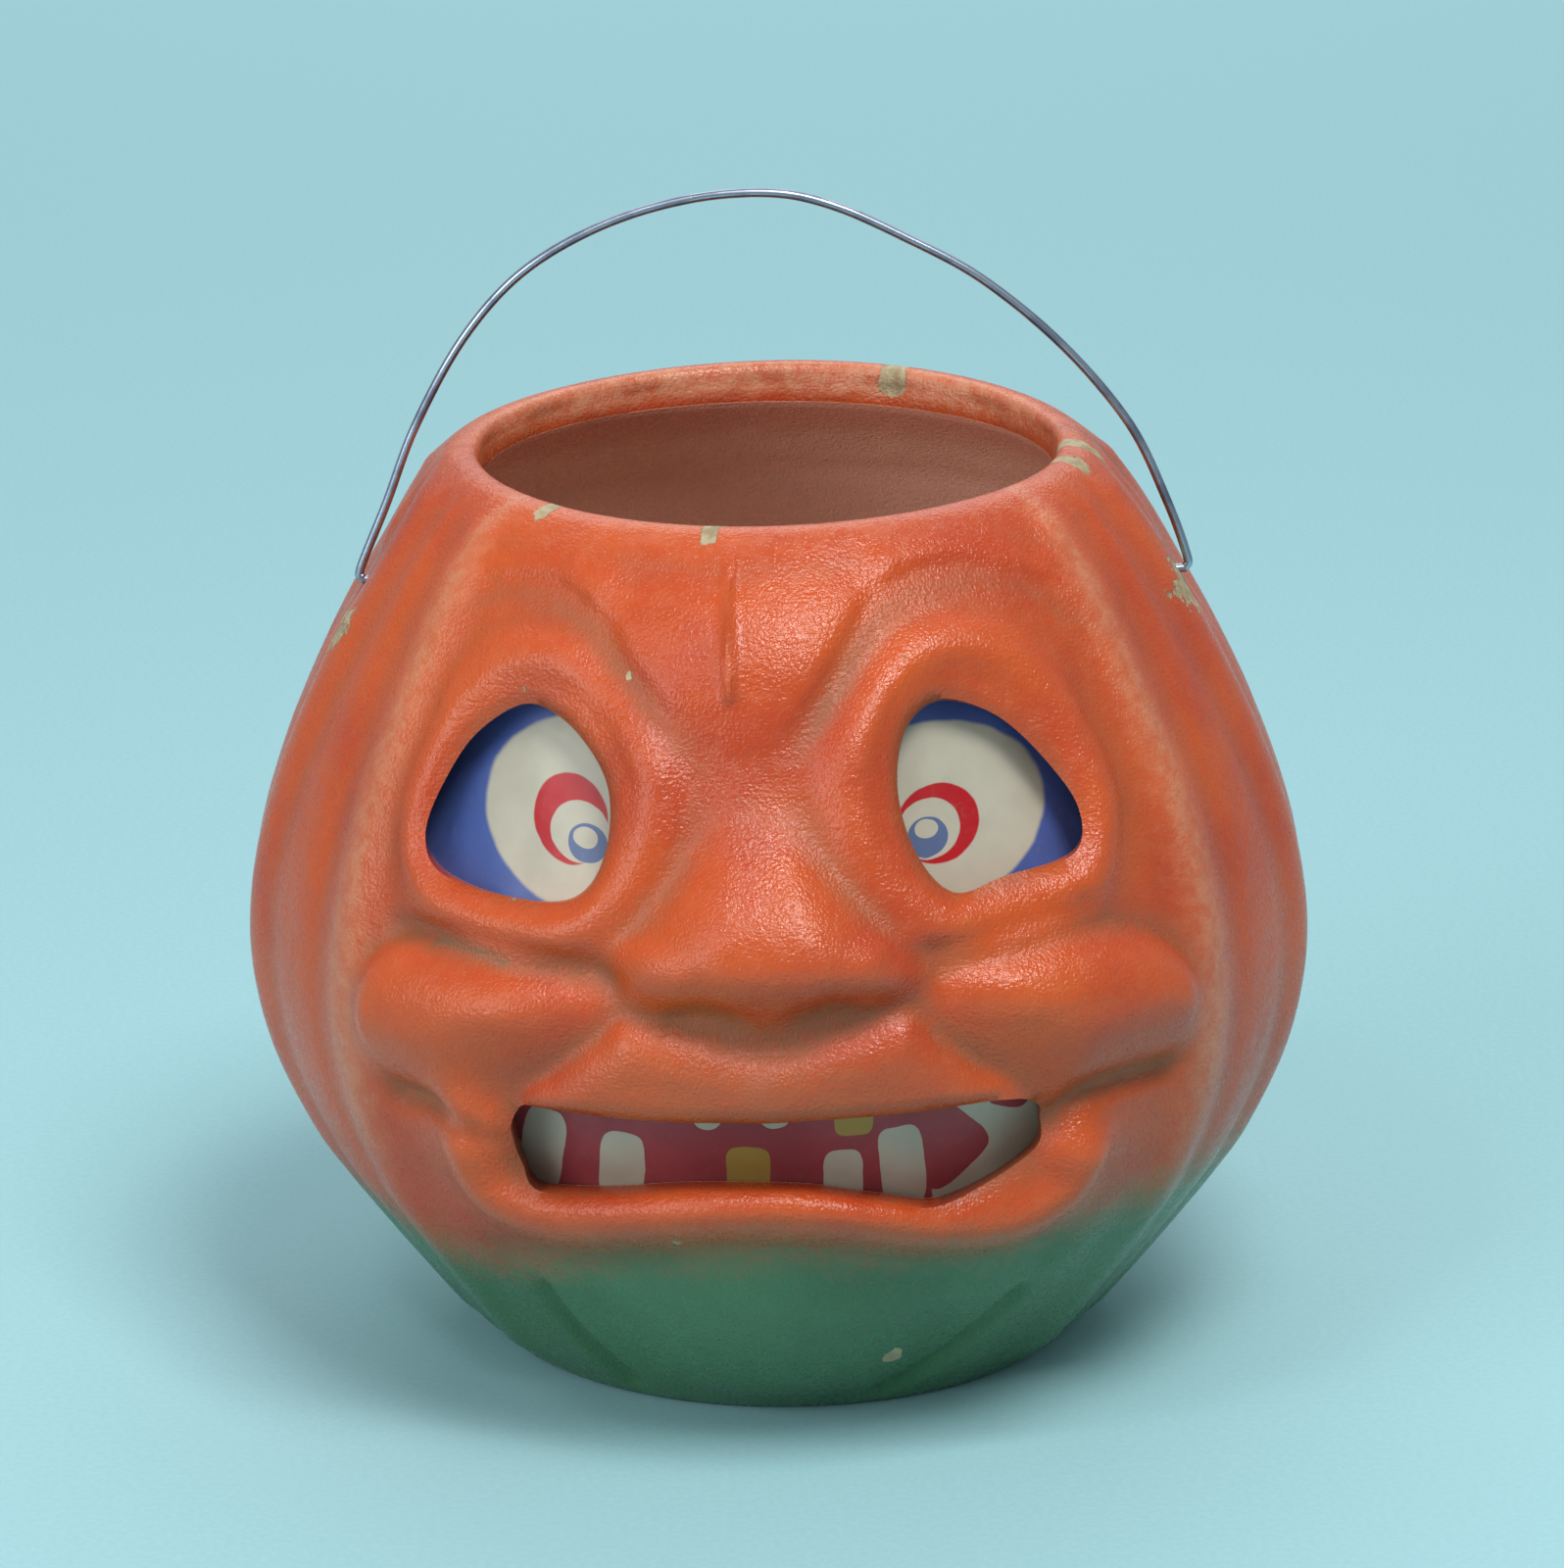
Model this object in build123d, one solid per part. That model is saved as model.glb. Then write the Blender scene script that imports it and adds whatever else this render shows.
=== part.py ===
from build123d import *
import math
import os

# Pumpkin candy pail of moulded pulp, in millimetres.
# The origin is the centre of the base, +Z is up and the face looks along -Y.
# Angles are in degrees round the pail from the front, positive towards +X.

# Body
rim_height = 139.5
belly_radius = 82.0
wall = 4.2
floor_thickness = 5.0
lean_angle = 0.9
rim_tilt = 2.0

# Lip round the mouth of the pail
neck_radius = 43.6
lip_drop = 4.0
lip_flare = 2.2
lip_depth = 12.0
lip_wall = 6.0
inside_sides = 28

# Ribs, with a flat panel from each crest to the next
rib_count = 14
rib_rise = 1.4
rib_round = 9.0
rib_width = 7.0

# Face
forehead_rise = 3.4
forehead_half_width = 33.0
forehead_half_height = 29.0
brow_rise = 1.5
brow_width = 5.0
groove_depth = 3.0
groove_width = 4.4
lid_rise = 3.6
lid_width = 7.5
lid_half_width = 23.5
lid_half_height = 19.5
nose_rise = 10.6
nose_bridge_half_width = 9.5
nose_tip_half_width = 24.0
nostril_half_width = 8.5
nostril_half_height = 6.0
nostril_rise = 1.6
muzzle_rise = 5.0
muzzle_half_width = 36.0
muzzle_half_height = 17.5
cheek_rise = 6.0
cheek_half_width = 29.5
cheek_half_height = 12.8
crease_depth = 1.4
crease_width = 3.4
hollow_depth = 3.0
hollow_half_width = 14.5
hollow_half_height = 8.5
smile_depth = 2.2
smile_width = 4.0
lip_roll_rise = 5.2
lip_roll_width = 6.0
lip_recess_depth = 1.8
lip_recess_width = 5.0
chin_rise = 4.0
chin_half_width = 36.0
chin_half_height = 19.0
form_blend = 2.0

# Eye and mouth openings, and how much of its sides an outline's round corners may take
opening_round = 5.0
corner_room_share = 0.95

# Printed paper behind the eyes and mouth
paper_thickness = 0.6
glue_gap = 0.25
paper_margin = 5.0
paper_corner = 6.0

# Wire bail and its holes in the seam
wire_diameter = 1.4
hole_clearance = 0.08
hole_drop = 20.1
hole_dent_depth = 1.3
hole_dent_radius = 11.0
bail_rise = 59.2
bail_gap = 0.95
bend_radius = 1.4
hook_reach = 5.5
hook_length = 4.6

# How finely the moulded forms are followed
level_count = 26
column_count = 28
bend_steps = 2
overrun = 4.0

# Outside profile: height as a share of rim_height, radius as a share of belly_radius
profile_shares = (
    (0.000, 0.549),
    (0.022, 0.588),
    (0.100, 0.693),
    (0.258, 0.884),
    (0.466, 0.989),
    (0.681, 0.915),
    (0.853, 0.770),
    (0.945, 0.682),
    (0.980, 0.643),
    (0.994, 0.612),
    (1.000, 0.570),
)

# Height above which the rim tilts back, as a share of rim_height
tilt_start_share = 0.870

# Heights where the inside wall changes slope, as shares of rim_height
cavity_shares = (0.000, 0.158, 0.262, 0.487, 0.581, 0.882)
mouth_band_shares = cavity_shares[2:4]
eye_band_shares = cavity_shares[4:6]

# Places on the face: angle in degrees, height as a share of rim_height
forehead_share = (-4, 0.953)
left_brow_shares = ((-30, 0.960), (-42, 0.939))
right_brow_shares = ((22, 0.968), (30, 0.968), (40, 0.946))
left_groove_shares = (
    (-42, 0.910), (-35, 0.925), (-27, 0.905), (-20, 0.857), (-13, 0.792), (-8, 0.749),
)
right_groove_shares = (
    (42, 0.910), (32, 0.939), (23, 0.935), (15, 0.903), (9, 0.850), (4, 0.789), (1, 0.756),
)
left_lid_share = (-30.5, 0.735)
right_lid_share = (24, 0.742)
nose_bridge_share = (-3, 0.763)
nose_tip_share = (-1, 0.597)
nose_base_share = (0, 0.480)
nostril_shares = ((-12, 0.570, 1), (10.5, 0.577, 1), (-7, 0.527, -1), (5, 0.534, -1))
muzzle_share = (-1, 0.430)
left_cheek_share = (-33, 0.495)
right_cheek_share = (32, 0.505)
left_crease_shares = ((-44, 0.573), (-34, 0.584), (-24, 0.581), (-17, 0.566))
right_crease_shares = ((11, 0.602), (15, 0.591), (25, 0.606), (34, 0.602))
left_hollow_share = (-29, 0.437)
right_hollow_share = (25, 0.448)
left_smile_shares = ((-45, 0.398), (-39, 0.394), (-33, 0.384))
right_smile_shares = ((45, 0.423), (39, 0.427), (33, 0.412), (29, 0.391))
lip_roll_shares = (
    (-34, 0.387), (-34.5, 0.337), (-32.5, 0.294), (-25, 0.278), (-14, 0.297), (-4, 0.310),
    (6, 0.304), (17, 0.275), (26, 0.272), (32, 0.301), (33.5, 0.337),
)
lip_recess_shares = ((-38, 0.201), (-24, 0.219), (-4, 0.237), (12, 0.233), (28, 0.211), (36, 0.215))
chin_share = (0, 0.129)
cheek_turn = 11
face_fade = 7

# Openings cut through the front: angle in degrees, height as a share of rim_height
left_eye_shares = (
    (-33, 0.817), (-26, 0.803), (-20, 0.753), (-19, 0.685), (-22, 0.635),
    (-30.5, 0.629), (-38, 0.643), (-42, 0.679), (-41.5, 0.731), (-38.5, 0.785),
)
right_eye_shares = (
    (22, 0.827), (29, 0.807), (34, 0.763), (36.5, 0.710), (34, 0.665),
    (26, 0.648), (18, 0.639), (14, 0.685), (13, 0.749), (15.5, 0.803),
)
mouth_shares = (
    (-27, 0.417), (-13, 0.418), (-1, 0.422), (13, 0.427), (24, 0.427), (28, 0.387), (25, 0.337),
    (18, 0.311), (4, 0.336), (-9, 0.336), (-24, 0.317), (-29, 0.344),
)

# Bail route between its feet: share of the foot distance, share of bail_rise
bail_shares = (
    (-0.930, 0.205), (-0.855, 0.405), (-0.735, 0.630), (-0.590, 0.800), (-0.400, 0.918),
    (-0.190, 0.985), (0.010, 1.000), (0.160, 0.965), (0.330, 0.880), (0.510, 0.770),
    (0.700, 0.595), (0.860, 0.385), (0.950, 0.180),
)


def ease(share):
    share = min(max(share, 0), 1)
    return share * share * (3 - 2 * share)


def arc_length(angle):
    return belly_radius * math.radians(angle)


def soft_max(first, second):
    return (first + second + math.hypot(first - second, form_blend) - form_blend) / 2


def local_place(angle, height, place, half_width, half_height, turn):
    across = arc_length(angle - place[0])
    up = height - place[1] * rim_height
    cosine = math.cos(math.radians(turn))
    sine = math.sin(math.radians(turn))
    return (across * cosine + up * sine) / half_width, (up * cosine - across * sine) / half_height


def dome(angle, height, place, half_width, half_height, rise, power=1, turn=0):
    across, up = local_place(angle, height, place, half_width, half_height, turn)
    return rise * max(0, 1 - across * across - up * up) ** power


def ring(angle, height, place, half_width, half_height, width, rise):
    across, up = local_place(angle, height, place, half_width, half_height, 0)
    away = (math.hypot(across, up) - 1) * (half_width + half_height) / 2
    return rise * math.exp(-((away / width) ** 2))


def stroke(angle, height, path, width, rise):
    nearest = math.inf
    for start, end in zip(path[:-1], path[1:]):
        run_across = arc_length(end[0] - start[0])
        run_up = (end[1] - start[1]) * rim_height
        across = arc_length(angle - start[0])
        up = height - start[1] * rim_height
        along = (across * run_across + up * run_up) / (run_across**2 + run_up**2)
        along = min(max(along, 0), 1)
        nearest = min(nearest, math.hypot(across - along * run_across, up - along * run_up))
    return rise * math.exp(-((nearest / width) ** 2))


def nose(angle, height):
    bridge = nose_bridge_share[1] * rim_height
    tip = nose_tip_share[1] * rim_height
    base = nose_base_share[1] * rim_height
    down = min(max((bridge - height) / (bridge - tip), 0), 1)
    under = min(max((tip - height) / (tip - base), 0), 1)
    middle = nose_bridge_share[0] + (nose_tip_share[0] - nose_bridge_share[0]) * down
    half_width = nose_bridge_half_width + (nose_tip_half_width - nose_bridge_half_width) * down**1.6
    across = abs(arc_length(angle - middle)) / half_width
    return nose_rise * down**1.3 * (1 - ease(under)) * max(0, 1 - across**2.4)


def face_relief(angle, height):
    relief = dome(angle, height, forehead_share, forehead_half_width, forehead_half_height, forehead_rise)
    for path in (left_brow_shares, right_brow_shares):
        relief += stroke(angle, height, path, brow_width, brow_rise)
    for path in (left_groove_shares, right_groove_shares):
        relief += stroke(angle, height, path, groove_width, -groove_depth)
    for place in (left_lid_share, right_lid_share):
        relief += ring(angle, height, place, lid_half_width, lid_half_height, lid_width, lid_rise)
    relief = soft_max(relief, nose(angle, height))
    for place in nostril_shares:
        size = place[2] * nostril_rise
        relief += dome(angle, height, place, nostril_half_width, nostril_half_height, size, 2)
    muzzle = dome(angle, height, muzzle_share, muzzle_half_width, muzzle_half_height, muzzle_rise)
    relief = soft_max(relief, muzzle)
    for place, turn in ((left_cheek_share, cheek_turn), (right_cheek_share, -cheek_turn)):
        cheek = dome(angle, height, place, cheek_half_width, cheek_half_height, cheek_rise, 1, turn)
        relief = soft_max(relief, cheek)
    for path in (left_crease_shares, right_crease_shares):
        relief += stroke(angle, height, path, crease_width, -crease_depth)
    for place in (left_hollow_share, right_hollow_share):
        relief += dome(angle, height, place, hollow_half_width, hollow_half_height, -hollow_depth, 2)
    for path in (left_smile_shares, right_smile_shares):
        relief += stroke(angle, height, path, smile_width, -smile_depth)
    relief += stroke(angle, height, lip_roll_shares, lip_roll_width, lip_roll_rise)
    relief += stroke(angle, height, lip_recess_shares, lip_recess_width, -lip_recess_depth)
    relief += dome(angle, height, chin_share, chin_half_width, chin_half_height, chin_rise, 1.3)
    return relief * ease((face_edge - abs(angle)) / face_fade)


def rib_relief(angle):
    away = arc_length(abs(angle) - face_edge) / rib_width
    return rib_rise * math.exp(-(away**2))


# The face fills the front as far as the second rib on each side
rib_step = 360 / rib_count
face_edge = 2 * rib_step
hole_height = rim_height - hole_drop
outside = Edge.make_spline([Vector(across * belly_radius, up * rim_height) for up, across in profile_shares])


def outside_radius(height):
    low, high = 0, 1
    for _ in range(40):
        middle = (low + high) / 2
        if (outside @ middle).Y < height:
            low = middle
        else:
            high = middle
    return (outside @ low).X


def level_plane(height):
    lean = lean_angle * ease(height / rim_height)
    tilt = rim_tilt * ease((height / rim_height - tilt_start_share) / (1 - tilt_start_share))
    middle = (-height * math.sin(math.radians(lean)), 0, height)
    return Plane(middle).rotated((tilt, -lean, 0))


def polar(radius, angle):
    return Vector(radius * math.sin(math.radians(angle)), -radius * math.cos(math.radians(angle)))


def seam_radius_at(height):
    dent = max(0, 1 - ((height - hole_height) / hole_dent_radius) ** 2) ** 2
    flat = (outside_radius(height) + rib_rise) * math.cos(math.radians(rib_step / 2))
    return flat - hole_dent_depth * dent


def panel_chain(height, angles):
    crest = outside_radius(height) + rib_rise
    points = []
    for angle in angles:
        on_seam = angle % 180 == 90
        points.append(polar(seam_radius_at(height) if on_seam else crest, angle))
    return FilletPolyline(*points, radius=rib_round * crest / (belly_radius + rib_rise)).edges()


def face_curve(height):
    points = []
    for index in range(column_count + 1):
        angle = face_edge * (2 * index / column_count - 1)
        radius = outside_radius(height) + rib_relief(angle) + face_relief(angle, height)
        points.append(polar(radius, angle))
    steps = [index / column_count for index in range(column_count + 1)]
    return Edge.make_spline(points, parameters=steps)


def closed_section(edges, height, reach):
    seam = seam_radius_at(height)
    corners = [Vector(seam, 0), Vector(seam, reach), Vector(-seam, reach), Vector(-seam, 0)]
    back = [Edge.make_line(start, end) for start, end in zip(corners[:-1], corners[1:])]
    return level_plane(height) * Wire([*edges, *back])


def front_section(height):
    left = panel_chain(height, (-90, -3 * rib_step, -face_edge))
    right = panel_chain(height, (face_edge, 3 * rib_step, 90))
    return closed_section([*left, face_curve(height), *right], height, overrun)


def back_section(height):
    ribs = [rib_step * index for index in range(4, rib_count - 3)]
    return closed_section(panel_chain(height, (90, *ribs, 270)), height, -overrun)


def half_body(make_section, front):
    heights = [(outside @ (index / level_count)).Y for index in range(level_count + 1)]
    body = Solid.make_loft([make_section(height) for height in heights], True)
    return body & half_space(front)


def half_space(front):
    size = 4 * max(belly_radius, rim_height)
    return Pos(0, -size / 2 if front else size / 2, 0) * Box(size, size, size)


def inside_line():
    lip_start = rim_height - lip_depth
    top = rim_height + 2 * overrun
    line = []
    for share in cavity_shares:
        height = share * rim_height
        line.append((outside_radius(height) - wall, height))
    line.append((outside_radius(lip_start) - lip_wall, lip_start))
    line.append((neck_radius, rim_height - lip_drop))
    line.append((neck_radius + lip_flare, top))
    return line


def inside_radius(height):
    line = inside_line()
    for (low_radius, low), (high_radius, high) in zip(line[:-1], line[1:]):
        if low <= height <= high:
            return low_radius + (high_radius - low_radius) * (height - low) / (high - low)


def inside_body(line):
    rings = []
    for radius, height in line:
        spots = [polar(radius, 360 * index / inside_sides) for index in range(inside_sides + 1)]
        rings.append([Vector(spot.X, spot.Y, height) for spot in spots])
    panels = [Face(Wire.make_polygon(ring[:-1])) for ring in (rings[0], rings[-1])]
    for low, high in zip(rings[:-1], rings[1:]):
        for index in range(inside_sides):
            panels.append(Face(Wire.make_polygon([*low[index:index + 2], high[index + 1], high[index]])))
    return Rot(0, -lean_angle, 0) * Solid(Shell(panels))


def cavity():
    width = 4 * belly_radius
    above_floor = Pos(0, 0, floor_thickness + rim_height) * Box(width, width, 2 * rim_height)
    return inside_body(inside_line()) & above_floor


def outline_points(shares):
    points = []
    for angle, share in shares:
        height = share * rim_height
        spot = polar(outside_radius(height) + face_relief(angle, height), angle)
        place = level_plane(height).from_local_coords(spot)
        points.append(Vector(place.X, 0, place.Z))
    return points


def corner_radius(points):
    sides = [end - start for start, end in zip(points, [*points[1:], points[0]])]
    turns = [before.get_angle(after) for before, after in zip([sides[-1], *sides[:-1]], sides)]
    reaches = [math.tan(math.radians(turn) / 2) for turn in turns]
    ends = zip(sides, reaches, [*reaches[1:], reaches[0]])
    room = min(side.length / (first + last) for side, first, last in ends)
    return min(opening_round, corner_room_share * room)


def opening(shares):
    points = outline_points(shares)
    outline = FilletPolyline(*points, radius=corner_radius(points), close=True)
    return extrude(Face(outline.wire()), amount=2 * belly_radius, dir=(0, -1, 0))


# Line through the two holes, which the bail turns about
hinge_plane = level_plane(hole_height)
seam_radius = seam_radius_at(hole_height)
inner_seam_radius = inside_radius(hole_height)
foot = seam_radius + bail_gap + bend_radius
hole_radius = wire_diameter / 2 + hole_clearance


def hole_bores():
    along = Plane(hinge_plane.origin, z_dir=hinge_plane.x_dir)
    length = seam_radius - inner_seam_radius + 4 * overrun
    middle = (seam_radius + inner_seam_radius) / 2
    bore = Cylinder(hole_radius, length)
    return along * Pos(0, 0, middle) * bore + along * Pos(0, 0, -middle) * bore


def front_shell():
    shell = half_body(front_section, True) - cavity()
    for shares in (left_eye_shares, right_eye_shares, mouth_shares):
        shell -= opening(shares)
    return shell - hole_bores()


def back_shell():
    return half_body(back_section, False) - cavity() - hole_bores()


def paper_insert(shares, band_shares):
    ends = [(inside_radius(share * rim_height), share * rim_height) for share in band_shares]
    front = inside_body([(radius - glue_gap, height) for radius, height in ends])
    back = inside_body([(radius - glue_gap - paper_thickness, height) for radius, height in ends])
    box = Compound([Vertex(*point) for point in outline_points(shares)]).bounding_box()
    outline = RectangleRounded(box.size.X + 2 * paper_margin, box.size.Z + 2 * paper_margin, paper_corner)
    blank = Plane(box.center(), x_dir=(1, 0, 0), z_dir=(0, -1, 0)) * outline
    return (front & extrude(blank, amount=2 * belly_radius)) - back


def tight_bend(before, corner, after):
    first = (corner - before).normalized()
    second = (after - corner).normalized()
    turn = first.get_signed_angle(second, Axis.Z.direction)
    half_step = math.radians(abs(turn)) / (2 * bend_steps)
    spot = corner - first * bend_radius * math.tan(math.radians(abs(turn)) / 2)
    points = [spot]
    for index in range(bend_steps):
        heading = first.rotate(Axis.Z, turn * (index + 0.5) / bend_steps)
        spot = spot + heading * 2 * bend_radius * math.sin(half_step)
        points.append(spot)
    return points


def hook(side, leg):
    inner_end = side * (inner_seam_radius - hook_reach)
    tip, inner, outer = Vector(inner_end, hook_length), Vector(inner_end, 0), Vector(side * foot, 0)
    return [tip, *tight_bend(tip, inner, outer), *tight_bend(inner, outer, leg)]


def wire_bail():
    corners = [Vector(across * foot, up * bail_rise) for across, up in bail_shares]
    route = Polyline(*hook(-1, corners[0]), *corners, *reversed(hook(1, corners[-1])))
    upright = Plane(hinge_plane.origin, x_dir=hinge_plane.x_dir, z_dir=(0, -1, 0))
    disc = Plane(route @ 0, z_dir=route % 0) * Circle(wire_diameter / 2)
    return upright * sweep(disc, path=route, transition=Transition.RIGHT)


def main():
    os.makedirs("parts", exist_ok=True)
    pieces = {
        "front_shell": front_shell(),
        "back_shell": back_shell(),
        "left_eye_insert": paper_insert(left_eye_shares, eye_band_shares),
        "right_eye_insert": paper_insert(right_eye_shares, eye_band_shares),
        "mouth_insert": paper_insert(mouth_shares, mouth_band_shares),
        "wire_bail": wire_bail(),
    }
    for name, piece in pieces.items():
        export_step(piece, f"parts/{name}.step")


if __name__ == "__main__":
    main()
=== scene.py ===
"""Visual model of a moulded pulp pumpkin pail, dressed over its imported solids."""

import logging
import math
from dataclasses import dataclass
from enum import Enum

import bpy
import numpy as np
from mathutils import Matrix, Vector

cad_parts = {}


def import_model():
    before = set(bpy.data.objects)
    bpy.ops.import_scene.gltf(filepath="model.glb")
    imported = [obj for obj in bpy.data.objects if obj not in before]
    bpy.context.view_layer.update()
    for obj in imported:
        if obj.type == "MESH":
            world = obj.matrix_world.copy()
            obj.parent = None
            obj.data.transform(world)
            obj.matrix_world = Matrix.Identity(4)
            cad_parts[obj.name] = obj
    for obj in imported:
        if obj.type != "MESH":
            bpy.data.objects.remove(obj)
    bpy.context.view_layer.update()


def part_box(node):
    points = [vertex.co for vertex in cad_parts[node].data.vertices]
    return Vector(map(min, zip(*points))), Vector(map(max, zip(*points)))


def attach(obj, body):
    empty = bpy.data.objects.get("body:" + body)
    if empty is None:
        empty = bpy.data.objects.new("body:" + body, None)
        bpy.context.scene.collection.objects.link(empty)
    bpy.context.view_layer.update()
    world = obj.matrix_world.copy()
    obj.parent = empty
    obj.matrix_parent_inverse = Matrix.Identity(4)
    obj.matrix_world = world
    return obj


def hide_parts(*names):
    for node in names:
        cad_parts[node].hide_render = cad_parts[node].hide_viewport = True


LOG = logging.getLogger("pumpkin_pail")
MM = 0.001
FAR = 99.0  # millimetres that stand for no opening near
MERGE_DISTANCE = 0.00001  # metres within which vertices are one
FLAT_SCALE = 1000.0  # scale that takes the depth out of a printed shape

Array = np.ndarray
Pair = tuple[float, float]
Place = tuple[float, float]
Places = tuple[Place, ...]
Spot = tuple[Array, Array]
Triple = tuple[float, float, float]
Point = tuple[float, float, float]
Colour = tuple[float, float, float]
Socket = bpy.types.NodeSocket


class Half(Enum):
    """The two moulded halves of the pail, with the angles that each covers."""

    FRONT = (-90.0, 90.0)
    BACK = (90.0, 270.0)


def ease(share: Array) -> Array:
    """Smooth step from 0 to 1.

    Args:
        share: values that run from 0 to 1 over the step.

    Returns:
        The eased values, held at 0 and 1 outside the step.
    """
    share = np.clip(share, 0.0, 1.0)
    return share * share * (3.0 - 2.0 * share)


def bell(share: Array) -> Array:
    """Bell curve that is 1 at 0 and fades on both sides."""
    return np.exp(-(share**2))


def from_front(angle: Array) -> Array:
    """Angles from the front, between -180 and 180 degrees."""
    return (angle + 180.0) % 360.0 - 180.0


def soft_max(first: Array, second: Array, blend: float) -> Array:
    """Larger of two forms, with a rounded crease between them.

    Args:
        first: one form.
        second: the other form.
        blend: width of the rounding.

    Returns:
        The joined form.
    """
    return 0.5 * (first + second + np.hypot(first - second, blend) - blend)


def shaded(colour: Colour, share: float) -> Colour:
    """Colour darkened to a share of itself."""
    return tuple(share * value for value in colour)


def blurred(sheet: Array, reach: int) -> Array:
    """Averages each value of a sheet with its neighbours.

    Args:
        sheet: values in rows and columns.
        reach: how many neighbours count on each side.

    Returns:
        The averaged sheet.
    """
    weights = np.hanning(2 * reach + 3)[1:-1]
    weights /= weights.sum()
    for axis in (0, 1):
        margin = [(reach, reach) if axis == side else (0, 0) for side in (0, 1)]
        padded = np.pad(sheet, margin, mode="edge")
        sheet = sum(
            weight * np.take(padded, range(shift, shift + sheet.shape[axis]), axis=axis)
            for shift, weight in enumerate(weights)
        )
    return sheet


def flowing_line(points: Places, count: int, closed: bool = False) -> Array:
    """Smooth line through points.

    Args:
        points: the points in order.
        count: how many points the line gets between two neighbours.
        closed: whether the line goes back to its first point.

    Returns:
        An array of points along the line.
    """
    spots = np.array(points, float)
    if closed:
        before_first, after_last = spots[-1:], spots[:2]
    else:
        before_first, after_last = 2 * spots[:1] - spots[1:2], 2 * spots[-1:] - spots[-2:-1]
    spots = np.concatenate((before_first, spots, after_last))
    steps = np.linspace(0.0, 1.0, count, endpoint=False)[:, None]
    runs = []
    for before, start, end, after in zip(spots[:-3], spots[1:-2], spots[2:-1], spots[3:]):
        slope_in, slope_out = (end - before) / 2, (after - start) / 2
        square, cube = steps**2, steps**3
        runs.append(
            start * (2 * cube - 3 * square + 1)
            + slope_in * (cube - 2 * square + steps)
            + end * (3 * square - 2 * cube)
            + slope_out * (cube - square)
        )
    if not closed:
        runs.append(spots[-2:-1])
    return np.concatenate(runs)


@dataclass(frozen=True)
class Pad:
    """Rounded pad on the face.

    Attributes:
        place: angle and height of its middle.
        half: half width and half height.
        rise: its height, below zero for a hollow.
        power: how pointed it is.
    """

    place: Place
    half: Pair
    rise: float
    power: float = 1.0


@dataclass(frozen=True)
class Crease:
    """Rounded ridge or groove along a path.

    Attributes:
        path: points by angle and height.
        width: how wide it is.
        rise: its height, below zero for a groove.
    """

    path: Places
    width: float
    rise: float


@dataclass(frozen=True)
class Cushion:
    """Pad that swells from a crease along its outline.

    Attributes:
        outline: points by angle and height.
        rise: height of the pad.
        reach: distance over which it swells.
        power: how steep it is at its outline.
        blend: rounding of the crease against the face.
    """

    outline: Places
    rise: float
    reach: float
    power: float
    blend: float


@dataclass(frozen=True)
class EyeRoll:
    """Rounded ring of pulp round an eye.

    Attributes:
        place: angle and height of its middle.
        half: half width and half height of its crest.
        width: how wide the roll is.
        rise: its height.
    """

    place: Place
    half: Pair
    width: float = 6.0
    rise: float = 4.3


@dataclass(frozen=True)
class Nose:
    """Broad blunt nose that widens to its tip.

    Attributes:
        top: height where it starts.
        run: distance down which it grows.
        middle: angle of its middle at the top.
        drift: how far the middle drifts by the tip, in degrees.
        bridge: half width at the top.
        spread: how much wider it is at the tip.
        spread_power: how late it widens.
        tip: height where its underside starts.
        foot: height where the underside ends in the middle.
        wing_lift: how much higher the underside ends at the wings.
        wing_power: how far out that lift starts.
        wing_reach: share of the half width where the lift ends.
        flank: share of the half width where the nose ends.
        flank_run: share of the half width over which it falls.
        rise: its height.
        blend: rounding of the crease against the face.
    """

    top: float = 108.0
    run: float = 24.0
    middle: float = -3.0
    drift: float = 2.0
    bridge: float = 7.0
    spread: float = 13.0
    spread_power: float = 1.5
    tip: float = 83.5
    foot: float = 67.5
    wing_lift: float = 5.0
    wing_power: float = 1.4
    wing_reach: float = 1.2
    flank: float = 1.45
    flank_run: float = 1.15
    rise: float = 10.6
    blend: float = 2.6


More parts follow.
